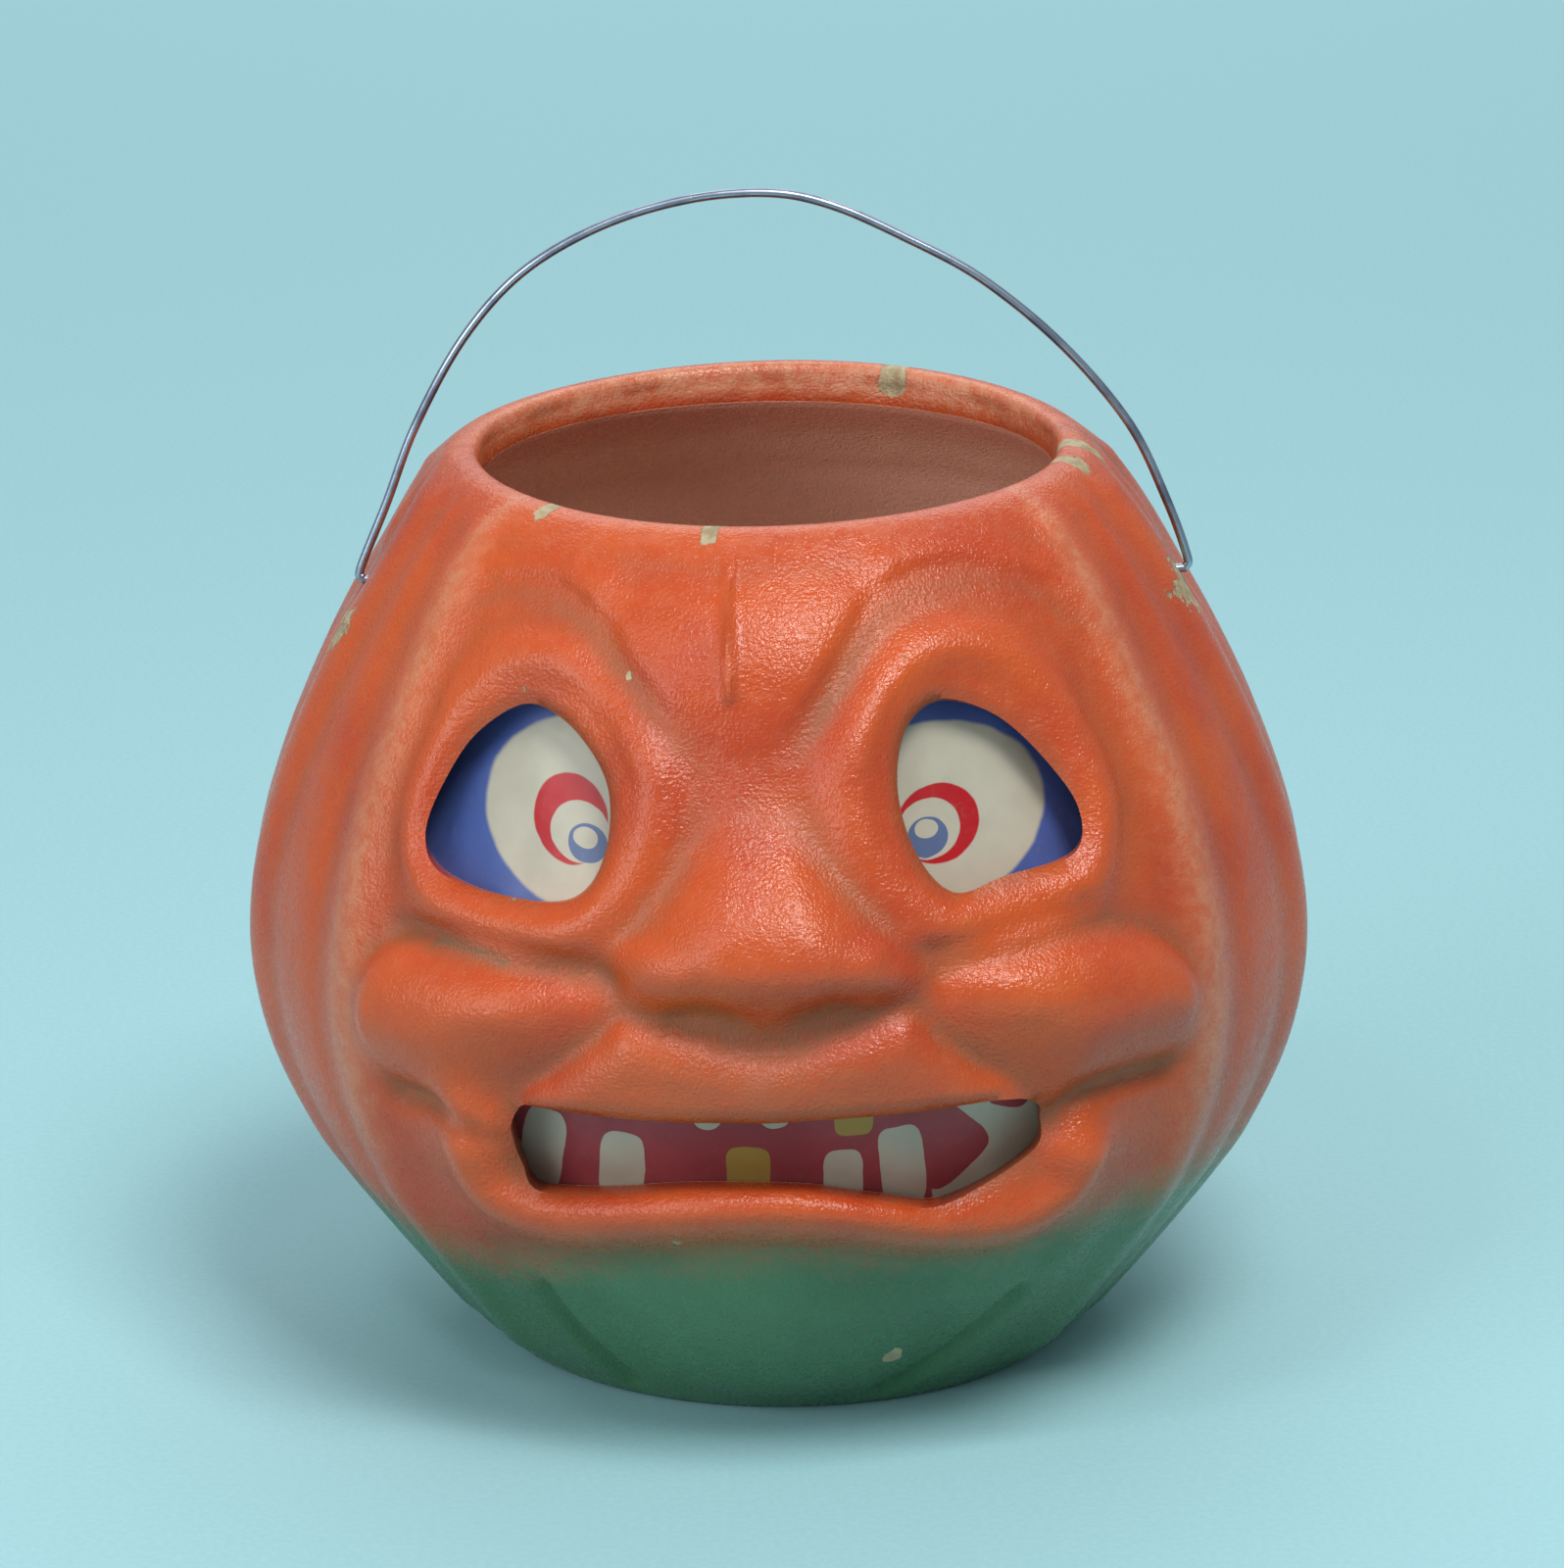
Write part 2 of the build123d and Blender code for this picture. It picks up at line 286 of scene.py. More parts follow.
@dataclass(frozen=True)
class FaceMap:
    """Moulded forms of the face, by angle in degrees and height in millimetres.

    Attributes:
        belly_radius: radius that turns angles into lengths across the face.
        edge: angle where the face ends at a rib.
        edge_fade: angle over which the relief fades to that rib.
        stroke_steps: points between two corners of a stroke's path.
        outline_steps: points between two corners of an opening's outline.
        left_eye: outline of the left eye's opening.
        right_eye: outline of the right eye's opening.
        mouth: outline of the mouth's opening.
        brow_line: path of the groove under the brows.
        brow_width: width of the groove under the brows.
        brow_depth: its relief, below zero.
        brow_foot: height where the groove starts to deepen.
        brow_run: height over which it deepens.
        brow_least: share of its depth that it has below that.
        forehead_rise: height of the forehead over the groove.
        forehead_start: distance below the groove where the forehead starts.
        forehead_run: distance over which it rises.
        forehead_top: height where it starts to fade to the rim.
        forehead_fade: height over which it fades.
        forehead_loss: share of it that fades.
        eye_rolls: rings of pulp round the eyes.
        upper_pads: swelling between the brows.
        upper_creases: ridges over the brows and grooves beside the eyes.
        nose: the nose.
        nostrils: its wings and the hollows under them.
        muzzle: upper lip.
        muzzle_middle: ridge in its middle.
        left_cheek: cheek on the left.
        right_cheek: cheek on the right.
        left_fold: fold below the left cheek.
        right_fold: fold below the right cheek.
        fold_least: share of a cheek that is left at the fold below it.
        fold_run: distance from the fold over which the cheek rises.
        lower_creases: grooves over the cheeks, at the smile's ends and round the chin.
        lower_lip: roll of the lower lip.
        chin: swelling of the chin.
        paint_run: run of thick paint down the forehead.
    """

    belly_radius: float = 82.0
    edge: float = 360.0 / 7
    edge_fade: float = 7.0
    stroke_steps: int = 4
    outline_steps: int = 8
    left_eye: Places = (
        (-33, 114), (-26, 112), (-20, 105), (-19, 95.5), (-22, 89.2),
        (-30.5, 88.2), (-38.6, 90.0), (-42, 94.8), (-41.8, 102.2), (-39.2, 109.2),
    )
    right_eye: Places = (
        (22, 115.2), (29, 112.5), (34, 106.5), (36.8, 99), (34.5, 92.6),
        (26, 91), (19.5, 89.8), (15.8, 95.8), (14.8, 104.5), (17, 112),
    )
    mouth: Places = (
        (-27.5, 58.0), (-24, 58.4), (-13, 58.3), (-1, 58.9), (13, 59.5), (23.8, 59.6),
        (29.2, 55.5), (27.2, 48.5), (18, 43.2), (11, 44.6), (2, 47.0), (-9, 46.9),
        (-20, 44.6), (-27, 43.9), (-29, 47.5), (-29.2, 54),
    )
    brow_line: Places = (
        (-52, 122), (-47, 126), (-41, 128.3), (-35, 128.5), (-29, 126.8), (-24, 123.8),
        (-17, 117), (-13, 112), (-9.5, 108.3), (-6.5, 106.2), (-4, 105.8), (-1.5, 106.3),
        (1.2, 107.8), (4, 111), (7, 115.3), (9.5, 119), (13, 123.8), (17, 128), (23, 130.3),
        (32, 130.5), (39, 128.5), (43, 125.5), (52, 118),
    )
    brow_width: float = 3.8
    brow_depth: float = -3.5
    brow_foot: float = 105.0
    brow_run: float = 16.0
    brow_least: float = 0.1
    forehead_rise: float = 2.6
    forehead_start: float = 2.0
    forehead_run: float = 7.0
    forehead_top: float = 128.0
    forehead_fade: float = 12.0
    forehead_loss: float = 0.75
    eye_rolls: tuple[EyeRoll, ...] = (
        EyeRoll((-29.5, 102.6), (22.5, 19.5)),
        EyeRoll((24.6, 103.4), (22.3, 19.8)),
    )
    upper_pads: tuple[Pad, ...] = (Pad((-3, 121), (27, 21), 1.8),)
    upper_creases: tuple[Crease, ...] = (
        Crease(((19, 135), (29, 135.5), (40, 131)), 4.0, 1.6),
        Crease(((-26, 132), (-34, 133.5), (-43, 130)), 4.0, 1.4),
        Crease(((-47, 90), (-48, 100), (-46.5, 110)), 3.5, -1.2),
        Crease(((43, 92), (45, 101), (43, 112)), 3.5, -1.0),
    )
    nose: Nose = Nose()
    nostrils: tuple[Pad, ...] = (
        Pad((-13, 79), (8.5, 7.5), 2.2, 1.5),
        Pad((11.3, 80), (8.5, 7.5), 2.2, 1.5),
        Pad((-7, 73.5), (8, 5), -1.5, 2),
        Pad((5, 74.5), (8, 5), -1.5, 2),
    )
    muzzle: Cushion = Cushion((
        (-15.5, 74), (-9, 72), (-3, 69.5), (1, 69.5), (6, 72), (13, 75), (16.5, 70.5),
        (21, 65.5), (26, 60.5), (25, 57), (0, 55), (-26, 56), (-28, 59.5), (-23.5, 65), (-19, 70),
    ), 4.6, 7.0, 0.75, 0.7)
    muzzle_middle: Crease = Crease(((-1, 67), (-1, 61)), 5.0, 0.6)
    left_cheek: Cushion = Cushion((
        (-51, 64), (-49.5, 73), (-43, 79.5), (-33, 80), (-24, 78.3), (-18, 76.5), (-14.5, 73.5),
        (-15, 66), (-20, 58), (-28, 53), (-36, 51), (-44, 52), (-49, 56),
    ), 6.4, 9.0, 0.7, 0.6)
    right_cheek: Cushion = Cushion((
        (51, 60), (49.5, 71), (43, 79.5), (33, 83), (25, 82), (18, 80), (13, 77), (12.5, 70),
        (17, 61), (25, 56), (33, 54), (42, 54), (49, 55),
    ), 6.4, 9.0, 0.7, 0.6)
    left_fold: Places = (
        (-14, 76.5), (-18, 70.5), (-22, 65), (-27, 60), (-33, 55.5), (-39, 54), (-46, 54),
    )
    right_fold: Places = (
        (12, 77.5), (15.5, 71), (19.5, 66), (24, 61.5), (30, 57), (38, 57.5), (46, 57.5),
    )
    fold_least: float = 0.12
    fold_run: float = 17.0
    lower_creases: tuple[Crease, ...] = (
        Crease(((-44, 81), (-34, 82.5), (-24, 81), (-17, 78.5)), 2.2, -1.2),
        Crease(((12, 83.5), (16, 82.5), (25, 84.5), (34, 86)), 2.2, -1.2),
        Crease(((-45, 55), (-39, 55), (-33, 53)), 2.6, -2.0),
        Crease(((45, 58.5), (39, 59), (33, 57.5), (30, 54.5)), 2.6, -2.0),
        Crease(((-38, 28), (-24, 30.5), (-4, 33), (12, 32.5), (28, 29.5), (36, 30)), 5.0, -1.8),
        Crease(((-35, 21), (-33, 12), (-28, 3)), 2.2, -2.0),
        Crease(((35, 20), (28, 10), (18, 2)), 2.2, -2.0),
    )
    lower_lip: Crease = Crease((
        (-34, 54), (-34.5, 47), (-32.5, 41), (-25, 38.8), (-14, 41.4), (-4, 43.2), (6, 42.4),
        (17, 38.4), (26, 38), (32, 42), (33.5, 47),
    ), 6.0, 5.2)
    chin: Pad = Pad((0, 18), (36, 19), 4.0, 1.3)
    paint_run: Crease = Crease(((-6, 138), (-5, 118)), 1.0, 1.6)

    def across(self, angle: Array) -> Array:
        """Length round the belly for an angle from the front."""
        return self.belly_radius * np.radians(angle)

    def dome(self, spot: Spot, pad: Pad) -> Array:
        """Relief of a rounded pad.

        Args:
            spot: lengths across and up.
            pad: the pad.

        Returns:
            The pad's relief.
        """
        side = (spot[0] - self.across(pad.place[0])) / pad.half[0]
        up = (spot[1] - pad.place[1]) / pad.half[1]
        return pad.rise * np.clip(1 - side**2 - up**2, 0, None) ** pad.power

    def distance(self, spot: Spot, path: Places) -> Array:
        """Distance from a path of angles and heights.

        Args:
            spot: lengths across and up.
            path: corners of the path.

        Returns:
            The distances in millimetres.
        """
        nearest = np.full(spot[0].shape, np.inf)
        for start, end in zip(path[:-1], path[1:]):
            run_side, run_up = self.across(end[0] - start[0]), end[1] - start[1]
            side, up = spot[0] - self.across(start[0]), spot[1] - start[1]
            along = np.clip((side * run_side + up * run_up) / (run_side**2 + run_up**2), 0, 1)
            nearest = np.minimum(nearest, np.hypot(side - along * run_side, up - along * run_up))
        return nearest

    def stroke(self, spot: Spot, crease: Crease) -> Array:
        """Relief of a rounded ridge or groove.

        Args:
            spot: lengths across and up.
            crease: the ridge or groove.

        Returns:
            The stroke's relief.
        """
        line = tuple(map(tuple, flowing_line(crease.path, self.stroke_steps)))
        return crease.rise * bell(self.distance(spot, line) / crease.width)

    def ring(self, spot: Spot, roll: EyeRoll) -> Array:
        """Relief of a ring round an eye.

        Args:
            spot: lengths across and up.
            roll: the ring.

        Returns:
            The ring's relief.
        """
        side = (spot[0] - self.across(roll.place[0])) / roll.half[0]
        up = (spot[1] - roll.place[1]) / roll.half[1]
        away = (np.hypot(side, up) - 1) * (roll.half[0] + roll.half[1]) / 2
        return roll.rise * bell(away / roll.width)

    def nose_relief(self, spot: Spot) -> Array:
        """Relief of the nose.

        Args:
            spot: lengths across and up.

        Returns:
            The nose's relief.
        """
        nose = self.nose
        down = np.clip((nose.top - spot[1]) / nose.run, 0, 1)
        middle = self.across(nose.middle + nose.drift * down)
        half = nose.bridge + nose.spread * down**nose.spread_power
        off = np.abs(spot[0] - middle) / half
        lowest = nose.foot + nose.wing_lift * np.clip(off, 0, nose.wing_reach) ** nose.wing_power
        under = np.clip((nose.tip - spot[1]) / (nose.tip - lowest), 0, 1)
        side = ease((nose.flank - off) / nose.flank_run)
        return nose.rise * ease(down) * (1 - ease(under)) * side

    def pillow(self, spot: Spot, cushion: Cushion) -> Array:
        """Relief of a pad that swells from its outline.

        Args:
            spot: lengths across and up.
            cushion: the pad.

        Returns:
            The pad's relief.
        """
        depth = -self.signed_distance(spot, cushion.outline)[0]
        within = np.clip(depth / cushion.reach, 0, 1)
        return cushion.rise * (1 - (1 - within) ** 2) ** cushion.power

    def cheek(self, spot: Spot, cushion: Cushion, fold: Places) -> Array:
        """Cheek pad, creased along its upper edge and soft towards the fold below.

        Args:
            spot: lengths across and up.
            cushion: the pad.
            fold: path of the fold below the pad.

        Returns:
            The cheek's relief.
        """
        rising = ease(self.fold_least + self.distance(spot, fold) / self.fold_run)
        return self.pillow(spot, cushion) * rising

    def signed_distance(self, spot: Spot, outline: Places) -> tuple[Array, Array, Array]:
        """Distance from a closed outline.

        Args:
            spot: lengths across and up.
            outline: points of the outline by angle and height.

        Returns:
            The distance, below zero inside, and the nearest point of the outline across and up.
        """
        line = flowing_line(outline, self.outline_steps, closed=True)
        line[:, 0] = self.across(line[:, 0])
        nearest = np.full(spot[0].shape, np.inf)
        near_side, near_up = np.zeros_like(nearest), np.zeros_like(nearest)
        inside = np.zeros(spot[0].shape, bool)
        for start, end in zip(line, np.roll(line, -1, axis=0)):
            run = end - start
            side, up = spot[0] - start[0], spot[1] - start[1]
            along = np.clip((side * run[0] + up * run[1]) / (run @ run), 0, 1)
            away = np.hypot(side - along * run[0], up - along * run[1])
            closer = away < nearest
            nearest = np.where(closer, away, nearest)
            near_side = np.where(closer, start[0] + along * run[0], near_side)
            near_up = np.where(closer, start[1] + along * run[1], near_up)
            if run[1] != 0:
                crosses = (start[1] > spot[1]) != (end[1] > spot[1])
                inside ^= crosses & (side < up * run[0] / run[1])
        return np.where(inside, -nearest, nearest), near_side, near_up

    def forehead(self, spot: Spot, angle: Array) -> Array:
        """Relief of the forehead and of the groove under the brows.

        Args:
            spot: lengths across and up.
            angle: angles from the front in degrees.

        Returns:
            The relief in millimetres.
        """
        height = spot[1]
        groove = np.interp(angle, *zip(*self.brow_line))
        above = np.where(height > groove, 1.0, -1.0) * self.distance(spot, self.brow_line)
        deep = (1 - self.brow_least) * ease((height - self.brow_foot) / self.brow_run)
        fade = ease((height - self.forehead_top) / self.forehead_fade)
        rise = self.forehead_rise * ease((above + self.forehead_start) / self.forehead_run)
        rise *= 1 - self.forehead_loss * fade
        brow = Crease(self.brow_line, self.brow_width, self.brow_depth)
        return (rise + self.stroke(spot, brow)) * (self.brow_least + deep)

    def relief(self, angle: Array, height: Array) -> Array:
        """Height of the face above the plain pumpkin.

        Args:
            angle: angles from the front in degrees.
            height: heights in millimetres.

        Returns:
            The relief in millimetres.
        """
        spot = (self.across(angle), height)
        form = self.forehead(spot, angle)
        form += sum(self.dome(spot, pad) for pad in self.upper_pads)
        form += sum(self.stroke(spot, crease) for crease in self.upper_creases)
        form += sum(self.ring(spot, roll) for roll in self.eye_rolls)
        form = soft_max(form, self.nose_relief(spot), self.nose.blend)
        form += sum(self.dome(spot, pad) for pad in self.nostrils)
        lip = self.pillow(spot, self.muzzle) + self.stroke(spot, self.muzzle_middle)
        form = soft_max(form, lip, self.muzzle.blend)
        cheeks = ((self.left_cheek, self.left_fold), (self.right_cheek, self.right_fold))
        for cushion, fold in cheeks:
            form = soft_max(form, self.cheek(spot, cushion, fold), cushion.blend)
        creases = (*self.lower_creases, self.lower_lip, self.paint_run)
        form += sum(self.stroke(spot, crease) for crease in creases)
        form += self.dome(spot, self.chin)
        return form * ease((self.edge - np.abs(angle)) / self.edge_fade)


@dataclass
class Spots:
    """Places of a shell's vertices on the form, in degrees and millimetres.

    Attributes:
        angle: angles from the front.
        height: heights on the outside.
        radius: plain radii of the outside.
        inner_height: heights on the inside.
        inner_radius: radii of the inside.
    """

    angle: Array
    height: Array
    radius: Array
    inner_height: Array
    inner_radius: Array


@dataclass(frozen=True)
class PumpkinForm:
    """Outside and inside of the pail as a path from the base to the rim.

    Attributes:
        face: forms of the face.
        rim_height: plain height of the rim.
        lean: how far the rim leans to the left, in degrees.
        rim_tilt: how far the rim rises to the back, in degrees.
        tilt_start: share of the height where that rise starts.
        rib_count: ribs round the pail.
        rib_rise: height of the ribs.
        flank_depth: depth of the hollows beside a rib.
        flank_place: their distance from its crest.
        flank_width: their width.
        crest_round: rounding of the crest.
        face_rib_width: width of the rib that ends the face.
        least_radius: radius below which panels stop bending.
        base_fade: height over which the relief starts at the base.
        rim_gap: distance below the rim where the relief ends.
        rim_fade: height over which it ends.
        hole_height: height of the wire holes in the seam.
        hole_radius: their radius.
        hole_wall: radius of the wall at the holes.
        dent_depth: depth of the dent round a hole.
        dent_radius: half its height.
        dent_width: half its width.
        seam_depth: depth of the glued seam.
        seam_width: half its width.
        rub_height: middle of the hollows that the wire has rubbed beside the left hole.
        rub_half: half their height.
        rub_depth: how deep they are.
        rub_off: their distance from the seam.
        rub_width: half their width.
        outside: radius and height along the outside.
        inside: radius and height along the inside.
        path_steps: points between two corners of the outside.
        base_radius: radius of the flat base.
        floor_blend: height where the inside has left the floor.
        lip_start: height where the inside turns to the lip.
        brim_run: length of the path that has dense rows.
        brim_step: distance between them.
        lip_foot: height where the back lip and the waves start.
        lip_run: height over which they grow.
        back_lip: how much higher the lip is at the back.
        rim_wave: height of the waves of the rim.
        wave_count: waves round the rim.
        wave_start: angle of the first wave.
    """

    face: FaceMap = FaceMap()
    rim_height: float = 139.5
    lean: float = 0.9
    rim_tilt: float = 2.0
    tilt_start: float = 0.87
    rib_count: int = 14
    rib_rise: float = 1.8
    flank_depth: float = 0.9
    flank_place: float = 8.0
    flank_width: float = 4.0
    crest_round: float = 3.5
    face_rib_width: float = 5.5
    least_radius: float = 20.0
    base_fade: float = 6.0
    rim_gap: float = 0.4
    rim_fade: float = 4.0
    hole_height: float = 119.4
    hole_radius: float = 0.95
    hole_wall: float = 61.4
    dent_depth: float = 1.3
    dent_radius: float = 11.0
    dent_width: float = 6.0
    seam_depth: float = 0.35
    seam_width: float = 0.9
    rub_height: float = 126.5
    rub_half: float = 10.0
    rub_depth: float = 1.0
    rub_off: float = 13.0
    rub_width: float = 9.0
    outside: Places = (
        (0.0, 0.0), (20.0, 0.0), (36.0, 0.0), (43.6, 0.05), (45.8, 0.9), (47.9, 3.2), (50.7, 6.2),
        (56.9, 14.0), (61.5, 20.0), (67.4, 28.0), (72.5, 36.0), (78.5, 50.0), (81.1, 65.0),
        (79.7, 80.0), (75.0, 95.0), (69.05, 108.0), (63.1, 119.0), (59.75, 125.0), (56.6, 130.0),
        (53.8, 133.8), (51.9, 136.3), (50.0, 138.1), (48.2, 139.2), (46.4, 139.6), (45.1, 139.4),
        (44.3, 138.6), (43.8, 137.2),
    )
    inside: Places = (
        (44.9, 5.0), (58.79, 22.04), (68.6, 36.55), (76.92, 67.94), (75.24, 81.05),
        (56.65, 123.04), (52.25, 127.5), (44.4, 134.6), (43.75, 135.6),
    )
    path_steps: int = 40
    base_radius: float = 41.0
    floor_blend: float = 12.0
    lip_start: float = 127.0
    brim_run: float = 12.0
    brim_step: float = 0.6
    lip_foot: float = 136.0
    lip_run: float = 3.0
    back_lip: float = 1.6
    rim_wave: float = 0.25
    wave_count: int = 3
    wave_start: float = 40.0

    def path(self, step: float, base_rows: int) -> tuple[Array, Array]:
        """Rows of the outside and the inside, from the base to the rim.

        Args:
            step: distance between rows up the wall.
            base_rows: rows across the base.

        Returns:
            Two arrays of radius and height, one row each.
        """
        line = flowing_line(self.outside, self.path_steps)
        run = np.concatenate(([0.0], np.cumsum(np.hypot(*np.diff(line, axis=0).T))))
        foot, brim = self.base_radius, run[-1] - self.brim_run
        marks = np.concatenate((
            np.linspace(0, foot, base_rows, endpoint=False),
            np.linspace(foot, brim, int((brim - foot) / step), endpoint=False),
            np.linspace(brim, run[-1], int(self.brim_run / self.brim_step)),
        ))
        outer = np.stack([np.interp(marks, run, line[:, axis]) for axis in (0, 1)], axis=1)
        return outer, self.inner_rows(outer, marks)

    def inner_rows(self, outer: Array, marks: Array) -> Array:
        """Rows of the inside that face the rows of the outside.

        Args:
            outer: radius and height of each row of the outside.
            marks: place of each row along the outside.

        Returns:
            Radius and height of each row of the inside.
        """
        wall = np.array(self.inside)
        lip = marks[int(np.argmax(outer[:, 1] > self.lip_start))]
        levels = (wall[0, 1], self.floor_blend, self.lip_start)
        height = np.interp(outer[:, 1], (0.0, self.floor_blend, self.lip_start), levels)
        lip_height = np.interp(marks, (lip, marks[-1]), (self.lip_start, wall[-1, 1]))
        height = np.where(marks < lip, height, lip_height)
        radius = np.interp(height, wall[:, 1], wall[:, 0])
        floor_radius = outer[:, 0] * wall[0, 0] / self.base_radius
        radius = np.where(marks < self.base_radius, floor_radius, radius)
        return np.stack((radius, height), axis=1)

    def ribs(self, angle: Array, radius: Array) -> Array:
        """Flat panels between rib crests, outside the face.

        Args:
            angle: angles from the front.
            radius: plain radius.

        Returns:
            Relief against the plain radius.
        """
        step = 360.0 / self.rib_count
        turned = from_front(angle)
        off = np.abs((turned / step) - np.round(turned / step)) * step
        away = radius * np.radians(off)
        soft = np.hypot(away, self.crest_round) - self.crest_round
        slope = math.tan(math.radians(step / 2))
        flank = self.flank_depth * bell((away - self.flank_place) / self.flank_width)
        bend = away**2 / (2 * np.maximum(radius, self.least_radius))
        panel = self.rib_rise - soft * slope + bend - flank
        inward = self.face.across(self.face.edge - np.abs(turned))
        beside = self.rib_rise * bell(inward / self.face_rib_width)
        return np.where(np.abs(turned) < self.face.edge, beside, panel)

    def outer_radius(self, angle: Array, radius: Array, height: Array) -> Array:
        """Radius of the moulded outside.

        Args:
            angle: angles from the front.
            radius: plain radius of the row.
            height: height of the row.

        Returns:
            The moulded radius.
        """
        below_rim = self.rim_height - self.rim_gap - height
        wall_share = ease(height / self.base_fade) * ease(below_rim / self.rim_fade)
        form = self.ribs(angle, radius) + self.face.relief(angle, height)
        turned = from_front(angle)
        seam_off = np.abs(self.face.across(np.abs(turned) - 90))
        dent = np.clip(1 - ((height - self.hole_height) / self.dent_radius) ** 2, 0, None) ** 2
        form -= self.dent_depth * dent * bell(seam_off / self.dent_width)
        form -= self.seam_depth * bell(seam_off / self.seam_width)
        rubbed = np.clip(1 - ((height - self.rub_height) / self.rub_half) ** 2, 0, None)
        rubbed *= bell((seam_off - self.rub_off) / self.rub_width)
        form -= self.rub_depth * rubbed * (turned < 0)
        return radius + form * wall_share

    def place(self, angle: Array, radius: Array, height: Array) -> Array:
        """Points in the pail's frame.

        Args:
            angle: angles from the front.
            radius: radii in millimetres.
            height: heights in millimetres.

        Returns:
            Points in metres.
        """
        turn, share = np.radians(angle), height / self.rim_height
        tilt = np.radians(self.lean) * ease(share)
        side, depth = radius * np.sin(turn), -radius * np.cos(turn)
        middle = -height * np.sin(tilt)
        back = np.radians(self.rim_tilt) * ease((share - self.tilt_start) / (1 - self.tilt_start))
        waves = np.sin(np.radians(self.wave_count * angle - self.wave_start))
        lift = self.back_lip * (1 - np.cos(turn)) / 2 + self.rim_wave * waves
        lift *= ease((height - self.lip_foot) / self.lip_run)
        up = height + side * np.sin(tilt) + depth * np.sin(back) + lift
        return np.stack((middle + side * np.cos(tilt), depth, up), axis=1) * MM


class Mesh:
    """Steps on the active mesh that the pieces share."""

    @staticmethod
    def clear_selection() -> None:
        """Leaves object mode with nothing selected."""
        if bpy.context.object and bpy.context.object.mode != "OBJECT":
            bpy.ops.object.mode_set(mode="OBJECT")
        bpy.ops.object.select_all(action="DESELECT")

    @staticmethod
    def grid(name: str, columns: int, rows: int) -> bpy.types.Object:
        """Adds a flat grid to be shaped.

        Args:
            name: name of the new object.
            columns: vertices across.
            rows: vertices up.

        Returns:
            The new object, two units wide and high.
        """
        Mesh.clear_selection()
        bpy.ops.mesh.primitive_grid_add(
            x_subdivisions=columns - 1, y_subdivisions=rows - 1, size=2.0
        )
        piece = bpy.context.object
        piece.name = name
        piece.data.name = name
        return piece

    @staticmethod
    def points(piece: bpy.types.Object) -> Array:
        """Reads the places of a piece's vertices.

        Args:
            piece: the object.

        Returns:
            One row of three numbers for each vertex, in metres.
        """
        spots = np.empty(len(piece.data.vertices) * 3)
        piece.data.vertices.foreach_get("co", spots)
        return spots.reshape(-1, 3)

    @staticmethod
    def set_points(piece: bpy.types.Object, spots: Array) -> None:
        """Moves the vertices of a piece.

        Args:
            piece: the object.
            spots: one row of three numbers for each vertex, in metres.
        """
        places = np.ascontiguousarray(spots, dtype=np.float32)
        piece.data.vertices.foreach_set("co", places.ravel())
        piece.data.update()

    @staticmethod
    def write(piece: bpy.types.Object, name: str, values: Array) -> None:
        """Stores one number for each vertex.

        Args:
            piece: the object.
            name: name that the numbers are stored under.
            values: the numbers.
        """
        layers = piece.data.attributes
        layer = layers.get(name) or layers.new(name, "FLOAT", "POINT")
        layer.data.foreach_set("value", np.ascontiguousarray(values, dtype=np.float32))

    @staticmethod
    def read(piece: bpy.types.Object, name: str) -> Array:
        """Reads the numbers that write stored.

        Args:
            piece: the object.
            name: name that the numbers are stored under.

        Returns:
            One number for each vertex.
        """
        values = np.empty(len(piece.data.vertices), np.float32)
        piece.data.attributes[name].data.foreach_get("value", values)
        return values.astype(float)

    @staticmethod
    def apply(piece: bpy.types.Object, kind: str, **settings: object) -> None:
        """Adds a modifier and applies it.

        Args:
            piece: the object.
            kind: Blender's name for the modifier.
            settings: values set on the modifier.
        """
        bpy.context.view_layer.objects.active = piece
        step = piece.modifiers.new(kind.title(), kind)
        for key, value in settings.items():
            setattr(step, key, value)
        bpy.ops.object.modifier_apply(modifier=step.name)

    @staticmethod
    def remove(piece: bpy.types.Object, chosen: Array) -> None:
        """Deletes chosen vertices in edit mode.

        Args:
            piece: the object.
            chosen: true for each vertex to delete.
        """
        bpy.context.view_layer.objects.active = piece
        bpy.ops.object.mode_set(mode="EDIT")
        bpy.ops.mesh.select_mode(type="VERT")
        bpy.ops.mesh.select_all(action="DESELECT")
        bpy.ops.object.mode_set(mode="OBJECT")
        piece.data.vertices.foreach_set("select", np.ascontiguousarray(chosen, dtype=bool))
        bpy.ops.object.mode_set(mode="EDIT")
        bpy.ops.mesh.delete(type="VERT")
        bpy.ops.object.mode_set(mode="OBJECT")

    @staticmethod
    def merge(piece: bpy.types.Object) -> None:
        """Joins vertices that lie on each other, at the pole of the base and at caps.

        Args:
            piece: the object.
        """
        bpy.context.view_layer.objects.active = piece
        bpy.ops.object.mode_set(mode="EDIT")
        bpy.ops.mesh.select_all(action="SELECT")
        bpy.ops.mesh.remove_doubles(threshold=MERGE_DISTANCE)
        bpy.ops.object.mode_set(mode="OBJECT")

    @staticmethod
    def finish(piece: bpy.types.Object, angle: float) -> None:
        """Shades a piece smooth except at sharp edges.

        Args:
            piece: the object.
            angle: bend in degrees from which an edge is sharp.
        """
        Mesh.clear_selection()
        piece.select_set(True)
        bpy.context.view_layer.objects.active = piece
        bpy.ops.object.shade_smooth_by_angle(angle=math.radians(angle))
        piece.select_set(False)


